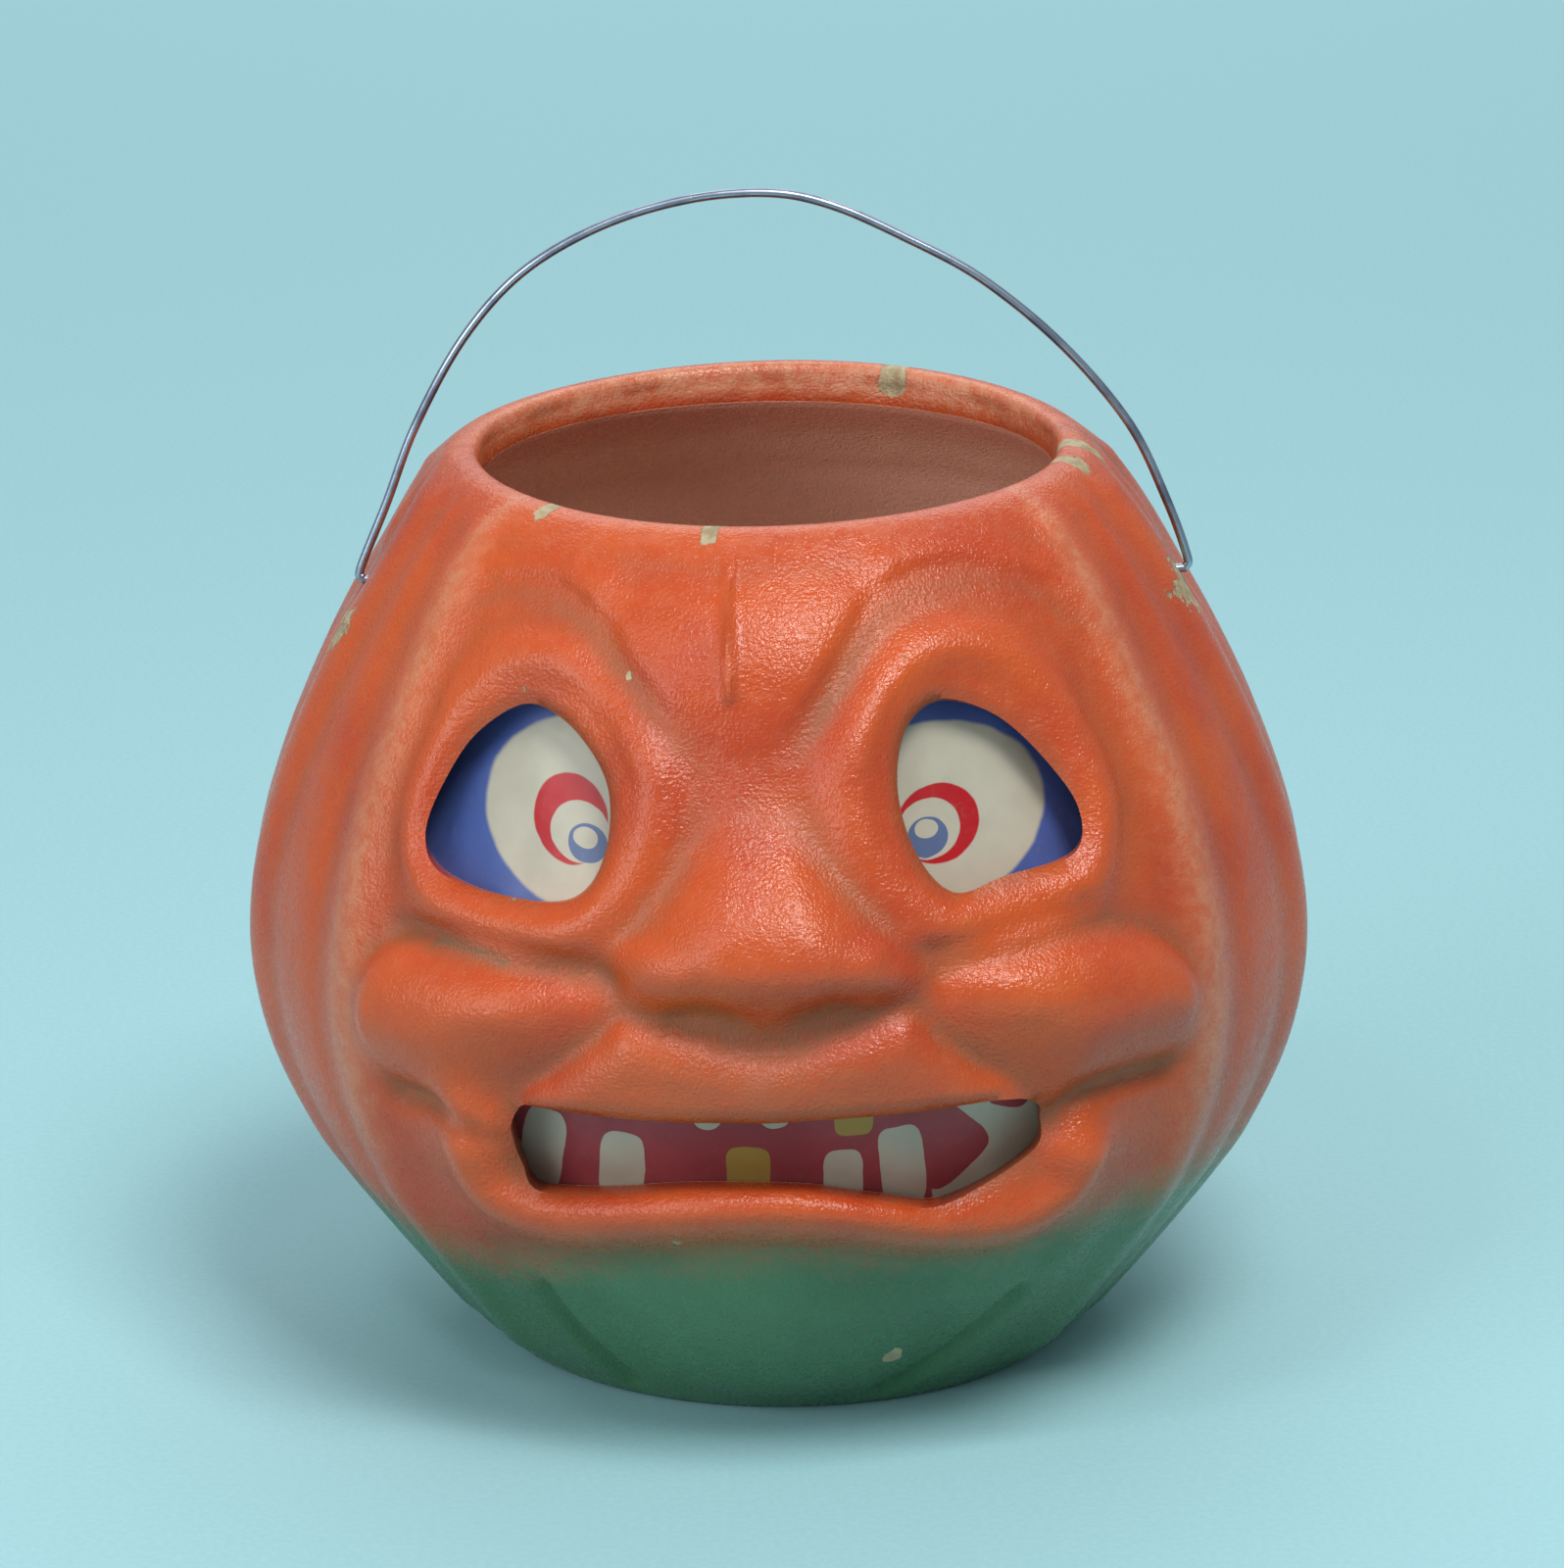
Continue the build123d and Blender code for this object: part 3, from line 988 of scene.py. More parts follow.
@dataclass(frozen=True)
class Mark:
    """One printed shape, seen from the front in millimetres.

    Attributes:
        colour: its ink.
        middle: its place across and up.
        half: its half width and half height.
        turn: its turn in degrees.
        square: whether it is a blunt block and not an oval.
        edge: softness of its edge.
    """

    colour: Colour
    middle: Place
    half: Pair
    turn: float = 0.0
    square: bool = False
    edge: float = 0.05


class Nodes:
    """Small builder for a material's nodes."""

    def __init__(self, name: str) -> None:
        """Starts a material with a plain shader.

        Args:
            name: name of the material.
        """
        self.material = bpy.data.materials.new(name)
        self.material.use_nodes = True
        self.tree = self.material.node_tree
        self.shader = self.tree.nodes["Principled BSDF"]
        self.coordinates = self.tree.nodes.new("ShaderNodeTexCoord").outputs["Object"]

    def link(self, source: Socket, target: Socket) -> None:
        """Joins two sockets."""
        self.tree.links.new(source, target)

    def feed(self, target: Socket, value: object) -> None:
        """Sets a socket to a value, or joins it to another socket.

        Args:
            target: socket that is set.
            value: number, colour or socket.
        """
        if isinstance(value, Socket):
            self.link(value, target)
        elif isinstance(value, tuple) and len(value) == 3 and target.type == "RGBA":
            target.default_value = (*value, 1.0)
        else:
            target.default_value = value

    def shine(self, **values: object) -> None:
        """Sets or joins inputs of the shader.

        Args:
            values: what each input gets, by its name with underscores for spaces.
        """
        for key, value in values.items():
            self.feed(self.shader.inputs[key.replace("_", " ")], value)

    def attribute(self, name: str) -> Socket:
        """Reads a number that the mesh holds for each vertex.

        Args:
            name: name that the mesh stores it under.

        Returns:
            The number.
        """
        node = self.tree.nodes.new("ShaderNodeAttribute")
        node.attribute_name = name
        return node.outputs["Fac"]

    def math(
        self, operation: str, first: object, second: object = 0.0, clamp: bool = False
    ) -> Socket:
        """Adds a sum of two numbers.

        Args:
            operation: Blender's name for the sum.
            first: number or socket.
            second: number or socket.
            clamp: whether the result is held from 0 to 1.

        Returns:
            The result.
        """
        node = self.tree.nodes.new("ShaderNodeMath")
        node.operation = operation
        node.use_clamp = clamp
        self.feed(node.inputs[0], first)
        self.feed(node.inputs[1], second)
        return node.outputs[0]

    def product(self, first: object, second: object) -> Socket:
        """Product of two numbers or sockets."""
        return self.math("MULTIPLY", first, second)

    def vector(self, operation: str, first: object, second: object) -> Socket:
        """Adds a sum of two vectors.

        Args:
            operation: Blender's name for the sum.
            first: vector or socket.
            second: vector or socket.

        Returns:
            The resulting vector, or the number for a dot product.
        """
        node = self.tree.nodes.new("ShaderNodeVectorMath")
        node.operation = operation
        self.feed(node.inputs[0], first)
        self.feed(node.inputs[1], second)
        return node.outputs["Value" if operation == "DOT_PRODUCT" else "Vector"]

    def ramp(
        self, value: object, low: float, high: float, start: float = 0.0, end: float = 1.0
    ) -> Socket:
        """Maps a number smoothly from one range to another.

        Args:
            value: number or socket.
            low: value where the ramp starts.
            high: value where it ends.
            start: result at low.
            end: result at high.

        Returns:
            The mapped number.
        """
        node = self.tree.nodes.new("ShaderNodeMapRange")
        node.interpolation_type = "SMOOTHSTEP"
        limits = {"Value": value, "From Min": low, "From Max": high, "To Min": start, "To Max": end}
        for key, number in limits.items():
            self.feed(node.inputs[key], number)
        return node.outputs["Result"]

    def noise(
        self,
        scale: float,
        detail: float = 3.0,
        rough: float = 0.55,
        stretch: Triple = (1.0, 1.0, 1.0),
    ) -> Socket:
        """Adds noise on the piece's own coordinates.

        Args:
            scale: grains to the metre.
            detail: finer layers.
            rough: strength of the finer layers.
            stretch: scale along each axis.

        Returns:
            The noise, about 0.5 on average.
        """
        spots = self.coordinates
        if stretch != (1.0, 1.0, 1.0):
            mapping = self.tree.nodes.new("ShaderNodeMapping")
            mapping.inputs["Scale"].default_value = stretch
            self.link(spots, mapping.inputs["Vector"])
            spots = mapping.outputs["Vector"]
        node = self.tree.nodes.new("ShaderNodeTexNoise")
        node.inputs["Scale"].default_value = scale
        node.inputs["Detail"].default_value = detail
        node.inputs["Roughness"].default_value = rough
        self.link(spots, node.inputs["Vector"])
        return node.outputs["Fac"]

    def mix(self, factor: object, first: object, second: object) -> Socket:
        """Mixes two colours.

        Args:
            factor: share of the second colour.
            first: colour or socket.
            second: colour or socket.

        Returns:
            The mixed colour.
        """
        node = self.tree.nodes.new("ShaderNodeMix")
        node.data_type = "RGBA"
        self.feed(node.inputs[0], factor)
        self.feed(node.inputs[6], first)
        self.feed(node.inputs[7], second)
        return node.outputs[2]

    def bump(
        self, height: Socket, distance: float, strength: float, below: Socket | None = None
    ) -> Socket:
        """Turns a height into a bumped normal.

        Args:
            height: height from 0 to 1.
            distance: depth of the bumps in metres.
            strength: share of the bumps that shows.
            below: normal that the bumps lie on.

        Returns:
            The normal.
        """
        node = self.tree.nodes.new("ShaderNodeBump")
        node.inputs["Distance"].default_value = distance
        node.inputs["Strength"].default_value = strength
        self.link(height, node.inputs["Height"])
        if below is not None:
            self.link(below, node.inputs["Normal"])
        return node.outputs["Normal"]

    def blob(self, mark: Mark, spots: Socket) -> Socket:
        """Mask of a printed shape seen from the front.

        Args:
            mark: the shape.
            spots: coordinates that it is laid on.

        Returns:
            1 inside and 0 outside.
        """
        (across, up), (half_width, half_height) = mark.middle, mark.half
        mapping = self.tree.nodes.new("ShaderNodeMapping")
        mapping.vector_type = "TEXTURE"
        mapping.inputs["Location"].default_value = (across * MM, 0.0, up * MM)
        mapping.inputs["Rotation"].default_value = (0.0, math.radians(mark.turn), 0.0)
        mapping.inputs["Scale"].default_value = (half_width * MM, FLAT_SCALE, half_height * MM)
        self.link(spots, mapping.inputs["Vector"])
        place = mapping.outputs["Vector"]
        for _ in range(2 if mark.square else 1):
            place = self.vector("MULTIPLY", place, place)
        total = self.vector("DOT_PRODUCT", place, (1.0, 1.0, 1.0))
        return self.ramp(total, 1 + mark.edge, 1 - mark.edge)

    def wavering(self, scale: float, amount: float) -> Socket:
        """Coordinates that waver a little, for hand-cut and printed edges.

        Args:
            scale: waves to the metre.
            amount: how far they move, in metres.

        Returns:
            The moved coordinates.
        """
        node = self.tree.nodes.new("ShaderNodeTexNoise")
        node.inputs["Scale"].default_value = scale
        self.link(self.coordinates, node.inputs["Vector"])
        centred = self.vector("SUBTRACT", node.outputs["Color"], (0.5, 0.5, 0.5))
        moved = self.vector("MULTIPLY", centred, (amount, amount, amount))
        return self.vector("ADD", self.coordinates, moved)


@dataclass(frozen=True)
class PaintedPulp:
    """Satin orange paint over moulded pulp, with green sprayed round the base.

    Attributes:
        orange: the paint.
        red: the paint where it is thick.
        pale: the paint where it is thin or rubbed, also painted highlight on the crests.
        dirt_and_shade: dirt and painted shade in hollows, also the colour of specks and cracks.
        green: the spray.
        dark_green: the spray where it is thick.
        dust_and_highlight: pale dust, also painted highlight on the lip and the brim.
        bare: bare pulp.
        dark_bare: bare pulp where it is stained.
        inside: pulp of the inside.
        broad_scale: grains of the slow noise to the metre.
        fine_scale: grains of the quick noise.
        chip_scale: grains of the chips' edges.
        speck_scale: grains of the dark specks.
        lump_scale: grains of the lumps in the pulp.
        weave_scale: grains of the cloth marks in the pulp.
        lump_depth: depth of the lumps, in metres.
        weave_depths: depth of the upright and of the level cloth marks.
        chip_depth: depth of the chips.
        gloss: roughness of the shiniest and of the dullest paint.
        worn_gloss: roughness that the mask of dirt and painted shade, and the chips, add.
        specular: strength of the shine.
        mottle_share: how pale the mottled paint is.
        crest_share: how pale the crests are with rubbed paint and painted highlight.
        dirt_and_shade_share: how dark the hollows are with dirt and painted shade.
        dust_and_highlight_share: how pale the dust and the painted highlight are.
        fleck_share: how uneven the spray's edge is.
        speck_share: how dark the specks are.
        crack_share: how dark the cracks are.
    """

    orange: Colour = (0.56, 0.078, 0.012)
    red: Colour = (0.47, 0.050, 0.012)
    pale: Colour = (0.60, 0.14, 0.045)
    dirt_and_shade: Colour = (0.20, 0.098, 0.042)
    green: Colour = (0.066, 0.180, 0.088)
    dark_green: Colour = (0.054, 0.150, 0.072)
    dust_and_highlight: Colour = (0.62, 0.28, 0.16)
    bare: Colour = (0.46, 0.37, 0.22)
    dark_bare: Colour = (0.30, 0.22, 0.12)
    inside: Colour = (0.78, 0.45, 0.33)
    broad_scale: float = 38.0
    fine_scale: float = 420.0
    chip_scale: float = 330.0
    speck_scale: float = 260.0
    lump_scale: float = 80.0
    weave_scale: float = 2500.0
    lump_depth: float = 0.0013
    weave_depths: Pair = (0.00016, 0.00013)
    chip_depth: float = 0.0005
    gloss: Pair = (0.20, 0.34)
    worn_gloss: float = 0.25
    specular: float = 0.45
    mottle_share: float = 0.18
    crest_share: float = 0.32
    dirt_and_shade_share: float = 0.62
    dust_and_highlight_share: float = 0.75
    fleck_share: float = 0.5
    speck_share: float = 0.25
    crack_share: float = 0.8

    def build(self, name: str) -> bpy.types.Material:
        """Makes the paint.

        Args:
            name: name of the material.

        Returns:
            The material.
        """
        nodes = Nodes(name)
        broad = nodes.noise(self.broad_scale)
        fine = nodes.noise(self.fine_scale, 4.0, 0.6)
        # Dirt and painted shade in the hollows, over the upper lip and along the brow groove.
        dirt_and_shade_mask = nodes.product(nodes.attribute("recess"), nodes.ramp(fine, 0.2, 0.6, 0.55, 1.0))
        ragged = nodes.math("SUBTRACT", nodes.noise(self.chip_scale, 4.0, 0.65), 0.5)
        chips = nodes.ramp(nodes.math("ADD", nodes.attribute("bare"), ragged), 0.50, 0.56)
        bare = nodes.mix(nodes.ramp(fine, 0.35, 0.65), self.bare, self.dark_bare)
        outside = nodes.mix(chips, self.paint(nodes, broad, fine, dirt_and_shade_mask), bare)
        within = nodes.ramp(nodes.attribute("inner"), 0.9, 1.0)
        worn = nodes.product(nodes.math("ADD", chips, dirt_and_shade_mask), self.worn_gloss)
        nodes.shine(
            Base_Color=nodes.mix(within, outside, self.inside),
            Roughness=nodes.math("ADD", nodes.ramp(fine, 0.3, 0.7, *self.gloss), worn, clamp=True),
            Specular_IOR_Level=self.specular,
            Normal=self.surface(nodes, chips),
        )
        return nodes.material

    def surface(self, nodes: Nodes, chips: Socket) -> Socket:
        """Bumps of the pulp under the paint.

        Args:
            nodes: builder of the material.
            chips: mask of the chips.

        Returns:
            The normal.
        """
        normal = nodes.bump(nodes.noise(self.lump_scale, 2.0), self.lump_depth, 0.5)
        for depth, stretch in zip(self.weave_depths, ((1.0, 1.0, 0.5), (0.5, 0.5, 1.0))):
            weave = nodes.noise(self.weave_scale, 1.0, 0.5, stretch)
            normal = nodes.bump(weave, depth, 0.9, normal)
        return nodes.bump(nodes.math("SUBTRACT", 1.0, chips), self.chip_depth, 0.6, normal)

    def paint(self, nodes: Nodes, broad: Socket, fine: Socket, dirt_and_shade_mask: Socket) -> Socket:
        """Mixes the colours of the painted surface.

        Args:
            nodes: builder of the material.
            broad: slow noise.
            fine: quick noise.
            dirt_and_shade_mask: mask of dirt and painted shade in the hollows, over the upper lip
                and along the brow groove.

        Returns:
            The colour.
        """
        mottle = nodes.ramp(fine, 0.45, 0.75)
        dust_and_highlight_amount = nodes.product(nodes.attribute("dust_and_highlight"), nodes.ramp(fine, 0.3, 0.7, 0.4, 1.0))
        layers = (
            (mottle, self.mottle_share, self.pale),
            # Pale crests: rubbed paint and painted highlight.
            (nodes.attribute("crest"), self.crest_share, self.pale),
            # Hollows darkened: dirt and painted shade.
            (dirt_and_shade_mask, self.dirt_and_shade_share, self.dirt_and_shade),
            # Painted highlight on the lip and brim, in the dust colour; pale dust on the ribs.
            (dust_and_highlight_amount, self.dust_and_highlight_share, self.dust_and_highlight),
        )
        paint = nodes.mix(nodes.ramp(broad, 0.35, 0.7), self.orange, self.red)
        for mask, share, colour in layers:
            paint = nodes.mix(nodes.product(mask, share), paint, colour)
        flecks = nodes.product(nodes.math("SUBTRACT", fine, 0.5), self.fleck_share)
        spray = nodes.math("ADD", nodes.attribute("green"), flecks)
        leaf = nodes.mix(nodes.ramp(broad, 0.3, 0.7), self.green, self.dark_green)
        paint = nodes.mix(nodes.ramp(spray, -0.05, 0.95), paint, leaf)
        grains = nodes.ramp(nodes.noise(self.speck_scale, 2.0), 0.73, 0.76)
        specks = nodes.product(grains, self.speck_share)
        cracks = nodes.product(nodes.attribute("crack"), self.crack_share)
        return nodes.mix(nodes.math("ADD", specks, cracks, clamp=True), paint, self.dirt_and_shade)


@dataclass(frozen=True)
class Chip:
    """Worn spot in the paint.

    Attributes:
        place: angle and height of its middle.
        half: half its width, in millimetres.
        strength: how bare it is.
    """

    place: Place
    half: float
    strength: float


@dataclass(frozen=True)
class WearAndPaintedLight:
    """Dirt, dust, spray and worn spots, with painted shade and painted highlight, by angle and
    height.

    Attributes:
        foot_run: height over which dirt, painted shade and pale crests start at the base.
        rim_run: height over which they end at the rim.
        dirt_and_shade_depth: depth of a hollow that is wholly dark with dirt and painted shade.
        pale_rise: height of a crest that is wholly pale with rubbed paint and painted highlight.
        darkening: painted shade over the upper lip under the nose, with its half width and half
            height.
        frown: dirt and painted shade along the brow groove, with its width and strength.
        frown_run: height over which that dirt and painted shade start.
        frown_fade: angle over which it ends at the face's edge.
        spray_line: middle of the green spray.
        spray_half: half the height over which it fades.
        rib_width: width of the dust on the ribs beside the face.
        rib_foot: height where that dust starts, and over which it grows.
        lip_height: height of the worn lip, which also gets painted highlight.
        lip_half: half the height of its wear and painted highlight.
        brim_radius: radius inside which painted highlight lies on the brim.
        brim_run: width over which it grows.
        brim_turn: angles between which it grows to the back.
        dust_and_highlight_amount: strength of the dust on the ribs and of the painted highlight on
            lip and brim.
        hole_turn: angle of the bare pulp beside the wire holes.
        hole_half: its half width on the left and on the right.
        hole_lift: its height over the hole on the left and on the right.
        hole_rise: half its height.
        bared: how bare the holes, the lip, the openings and the torn edge are.
        edge_width: width of the bare edge round the openings.
        torn: heights between which the left eye's edge is torn.
        torn_run: height over which that starts and ends.
        torn_turn: angle where it starts.
        torn_fade: angle over which it starts.
        chips: worn spots.
        cracks: fine cracks.
    """

    foot_run: float = 8.0
    rim_run: float = 4.0
    dirt_and_shade_depth: float = 1.3
    pale_rise: float = 1.6
    # Painted shade over the upper lip, under the nose.
    darkening: Pad = Pad((0, 64), (24, 6), 0.7)
    frown: Pair = (1.7, 0.40)
    frown_run: float = 10.0
    frown_fade: float = 8.0
    spray_line: Places = (
        (-180, 33), (-90, 28), (-60, 26), (-45, 25), (-32, 28), (-18, 34), (0, 36), (18, 34),
        (30, 32), (45, 36), (60, 35), (90, 31), (180, 33),
    )
    spray_half: float = 8.0
    rib_width: float = 4.0
    rib_foot: float = 30.0
    lip_height: float = 139.6
    lip_half: float = 2.2
    brim_radius: float = 46.8
    brim_run: float = 1.5
    brim_turn: Pair = (60.0, 140.0)
    dust_and_highlight_amount: Triple = (0.75, 0.28, 1.1)
    hole_turn: float = 82.0
    hole_half: Pair = (13.0, 17.0)
    hole_lift: Pair = (-4.0, 0.5)
    hole_rise: float = 6.0
    bared: tuple[float, float, float, float] = (0.85, 0.20, 0.12, 0.32)
    edge_width: float = 0.6
    torn: Pair = (86.0, 91.5)
    torn_run: float = 2.0
    torn_turn: float = -24.0
    torn_fade: float = 3.0
    chips: tuple[Chip, ...] = (
        Chip((-10, 139.3), 1.6, 0.75), Chip((-43, 139.0), 1.5, 0.6), Chip((154, 137.9), 2.5, 0.9),
        Chip((74, 139.3), 2.4, 0.7), Chip((86, 138.8), 2.6, 0.7), Chip((-18.6, 119.5), 0.9, 0.9),
        Chip((-33.5, 116.2), 1.3, 0.7), Chip((-29, 117), 1.0, 0.6), Chip((-11.5, 37.5), 1.0, 0.9),
        Chip((17.0, 12.5), 1.9, 1.1), Chip((-36, 66), 1.2, 0.5), Chip((40, 24), 1.2, 0.5),
        Chip((130, 60), 1.6, 0.7), Chip((-140, 90), 1.4, 0.7), Chip((175, 30), 1.8, 0.7),
        Chip((-115, 46), 1.3, 0.6),
    )
    cracks: tuple[Crease, ...] = (
        Crease(((-38, 80.4), (-34, 80.9), (-29, 79.6)), 0.7, 1.0),
        Crease(((17.0, 12.3), (17.2, 12.9)), 0.8, 1.0),
    )

    def dirt_and_shade(self, form: PumpkinForm, spot: Spots, hollow: Array) -> Array:
        """Dirt and painted shade in the hollows, painted shade over the upper lip, and dirt with
        painted shade along the brow groove.

        Args:
            form: the form of the pail.
            spot: places of the vertices.
            hollow: how deep each vertex lies among its neighbours.

        Returns:
            The share of dirt and painted shade at each vertex.
        """
        face, side, up = form.face, form.face.across(spot.angle), spot.height
        # Painted shade over the upper lip, under the nose.
        middle, half = self.darkening.place, self.darkening.half
        darkening = bell((side - face.across(middle[0])) / half[0]) * bell((up - middle[1]) / half[1])
        # Dirt and painted shade along the brow groove.
        frown = face.stroke((side, up), Crease(face.brow_line, *self.frown))
        frown *= ease((face.edge - np.abs(from_front(spot.angle))) / self.frown_fade)
        frown *= ease((up - face.brow_foot) / self.frown_run)
        # Hollows darkened: dirt and painted shade.
        filled = np.clip(hollow / self.dirt_and_shade_depth, 0, 1)
        return np.clip(filled + self.darkening.rise * darkening + frown, 0, 1)

    def dust_and_highlight(self, form: PumpkinForm, spot: Spots, lip: Array) -> Array:
        """Pale dust on the ribs beside the face, and painted highlight on the lip and the back of
        the brim.

        Args:
            form: the form of the pail.
            spot: places of the vertices.
            lip: share of the lip at each vertex.

        Returns:
            The share of dust and painted highlight at each vertex.
        """
        turned = np.abs(from_front(spot.angle))
        start, end = self.brim_turn
        rib = bell(form.face.across(turned - form.face.edge) / self.rib_width)
        rib *= ease((spot.height - self.rib_foot) / self.rib_foot)
        # Painted highlight on the inner face of the back brim.
        brim = ease((self.brim_radius - spot.radius) / self.brim_run)
        brim *= (spot.height > form.lip_foot) * ease((turned - start) / (end - start))
        shares = zip(self.dust_and_highlight_amount, (rib, lip, brim))
        return np.maximum.reduce([strength * share for strength, share in shares])

    def bare(self, form: PumpkinForm, spot: Spots, lip: Array, gap: Array) -> Array:
        """Bare pulp round the wire holes, on the lip, at the openings and in chips.

        Args:
            form: the form of the pail.
            spot: places of the vertices.
            lip: share of the lip at each vertex.
            gap: distance from the nearest face opening.

        Returns:
            How bare each vertex is.
        """
        angle, height = from_front(spot.angle), spot.height
        half, lift = (np.where(angle < 0, *pair) for pair in (self.hole_half, self.hole_lift))
        beside = form.face.across(np.abs(angle) - self.hole_turn) / half
        above = (height - form.hole_height - lift) / self.hole_rise
        at_hole, at_lip, at_edge, at_tear = self.bared
        bare = at_hole * bell(beside) * bell(above) + at_lip * lip
        for chip in self.chips:
            off = spot.radius * np.radians(from_front(angle - chip.place[0]))
            up = height - chip.place[1]
            bare += chip.strength * bell(off / chip.half) * bell(up / chip.half)
        low, high = self.torn
        torn = ease((height - low) / self.torn_run) * ease((high - height) / self.torn_run)
        torn *= ease((self.torn_turn - angle) / self.torn_fade)
        bare += (at_edge + at_tear * torn) * bell(gap / self.edge_width)
        return np.clip(bare, 0, 1)

    def layers(
        self, form: PumpkinForm, spot: Spots, hollow: Array, gap: Array
    ) -> dict[str, Array]:
        """Works out all that the paint needs to know of each vertex.

        Args:
            form: the form of the pail.
            spot: places of the vertices.
            hollow: how deep each vertex lies among its neighbours.
            gap: distance from the nearest face opening.

        Returns:
            One number for each vertex, by the name that the paint reads.
        """
        angle, height = from_front(spot.angle), spot.height
        wall = ease(height / self.foot_run) * ease((form.rim_height - height) / self.rim_run)
        lip = bell((height - self.lip_height) / self.lip_half)
        sprayed = np.interp(angle, *zip(*self.spray_line)) + self.spray_half - height
        place = (form.face.across(angle), height)
        return {
            # Darker in hollows, over the upper lip and along the brow groove: dirt and painted
            # shade.
            "recess": self.dirt_and_shade(form, spot, hollow) * wall,
            # Paler on raised forms: rubbed paint and painted highlight.
            "crest": np.clip(-hollow / self.pale_rise, 0, 1) * wall,
            "green": sprayed / (2 * self.spray_half),
            # Pale dust on the ribs; painted highlight on the lip and brim.
            "dust_and_highlight": self.dust_and_highlight(form, spot, lip),
            "bare": self.bare(form, spot, lip, gap),
            "crack": sum(form.face.stroke(place, crack) for crack in self.cracks),
        }


@dataclass
class PulpShell:
    """One moulded half of the pail.

    Attributes:
        half: which half it is.
        form: the form of the pail.
        step: distance between points up its wall.
        columns: points round it.
        wear_and_painted_light: how its paint is worn, with painted shade and painted highlight.
        base_rows: points across its base.
        hole_corners: points round a wire hole.
        lowest_cut: height below which nothing is cut.
        edge_round: rounding of the openings' edges.
        edge_width: width of that rounding.
        hollow_reach: distance over which hollows and crests are told apart.
        sill_drop: how far the walls of the face openings fall towards the inside.
        sill_reach: distance from an opening over which they are straight.
        steepest: largest sine of an angle on the inside.
        least_share: share below which the inside is left as it is.
        wall: thickness before the inner skin is moved.
        spray_height: height where overspray starts on the inside.
        spray_run: height over which it grows.
        overspray: how much of it there is.
        smooth_angle: bend from which an edge is sharp.
    """

    half: Half
    form: PumpkinForm
    step: float
    columns: int
    wear_and_painted_light: WearAndPaintedLight = WearAndPaintedLight()
    base_rows: int = 7
    hole_corners: int = 12
    lowest_cut: float = 8.0
    edge_round: float = 1.0
    edge_width: float = 1.2
    hollow_reach: float = 7.5
    sill_drop: float = 1.4
    sill_reach: float = 8.0
    steepest: float = 0.999
    least_share: float = 0.01
    wall: float = 3.0
    spray_height: float = 126.0
    spray_run: float = 7.0
    overspray: float = 0.045
    smooth_angle: float = 62.0

    def wire_holes(self) -> tuple[Places, ...]:
        """Finds the outlines of the wire holes at the seam.

        Returns:
            Both outlines, by angle and height.
        """
        reach, middle = self.form.hole_radius, self.form.hole_height
        turn = math.degrees(reach / self.form.hole_wall)
        corners = [math.tau * corner / self.hole_corners for corner in range(self.hole_corners)]
        return tuple(
            tuple((angle + turn * math.sin(at), middle + reach * math.cos(at)) for at in corners)
            for angle in self.half.value
        )

    def build(self) -> bpy.types.Object:
        """Models the half from a grid.

        Returns:
            The finished object.
        """
        outer, inner = self.form.path(self.step, self.base_rows)
        rows = len(outer)
        piece = Mesh.grid(f"{self.half.name.lower()}_shell_form", self.columns, rows)
        share = (Mesh.points(piece) + 1) / 2
        row = np.clip(np.rint(share[:, 1] * (rows - 1)).astype(int), 0, rows - 1)
        column = np.rint(share[:, 0] * (self.columns - 1)).astype(int)
        start, end = self.half.value
        angle = start + (end - start) * share[:, 0]
        spot = Spots(angle, outer[row, 1], outer[row, 0], inner[row, 1], inner[row, 0])
        cut, gap = self.open_up(piece, spot, outer, inner)
        moulded = self.form.outer_radius(spot.angle, spot.radius, spot.height)
        moulded -= self.edge_round * bell(gap / self.edge_width)
        Mesh.set_points(piece, self.form.place(spot.angle, moulded, spot.height))
        sheet = np.empty((rows, self.columns))
        sheet[row, column] = moulded
        sheet = blurred(blurred(sheet, round(self.hollow_reach / self.step)) - sheet, 1)
        layers = self.wear_and_painted_light.layers(self.form, spot, sheet[row, column], gap)
        layers |= self.inner_places(spot, moulded, gap)
        for name, values in layers.items():
            Mesh.write(piece, name, values)
        Mesh.remove(piece, cut)
        count = len(piece.data.vertices)
        Mesh.apply(piece, "SOLIDIFY", thickness=self.wall * MM, offset=-1.0, use_rim=True)
        self.shape_inside(piece, count)
        Mesh.merge(piece)
        Mesh.finish(piece, self.smooth_angle)
        return piece

    def open_up(
        self, piece: bpy.types.Object, spot: Spots, outer: Array, inner: Array
    ) -> tuple[Array, Array]:
        """Finds what all openings cut away and draws the points beside them to their outlines.

        Args:
            piece: the grid.
            spot: places of the vertices, changed here.
            outer: rows of the outside.
            inner: rows of the inside.

        Returns:
            What is cut, and the distance of each vertex from the nearest face opening.
        """
        faces = np.array([face.vertices[:] for face in piece.data.polygons])
        cut = np.zeros(len(spot.angle), bool)
        gap = np.full(len(spot.angle), FAR)
        face = self.form.face
        openings = (face.left_eye, face.right_eye, face.mouth) if self.half is Half.FRONT else ()
        for outline in openings + self.wire_holes():
            removed, away = self.draw_to(spot, outline, faces, outer, inner)
            cut |= removed
            if outline in openings:
                gap = np.minimum(gap, away)
        return cut, gap

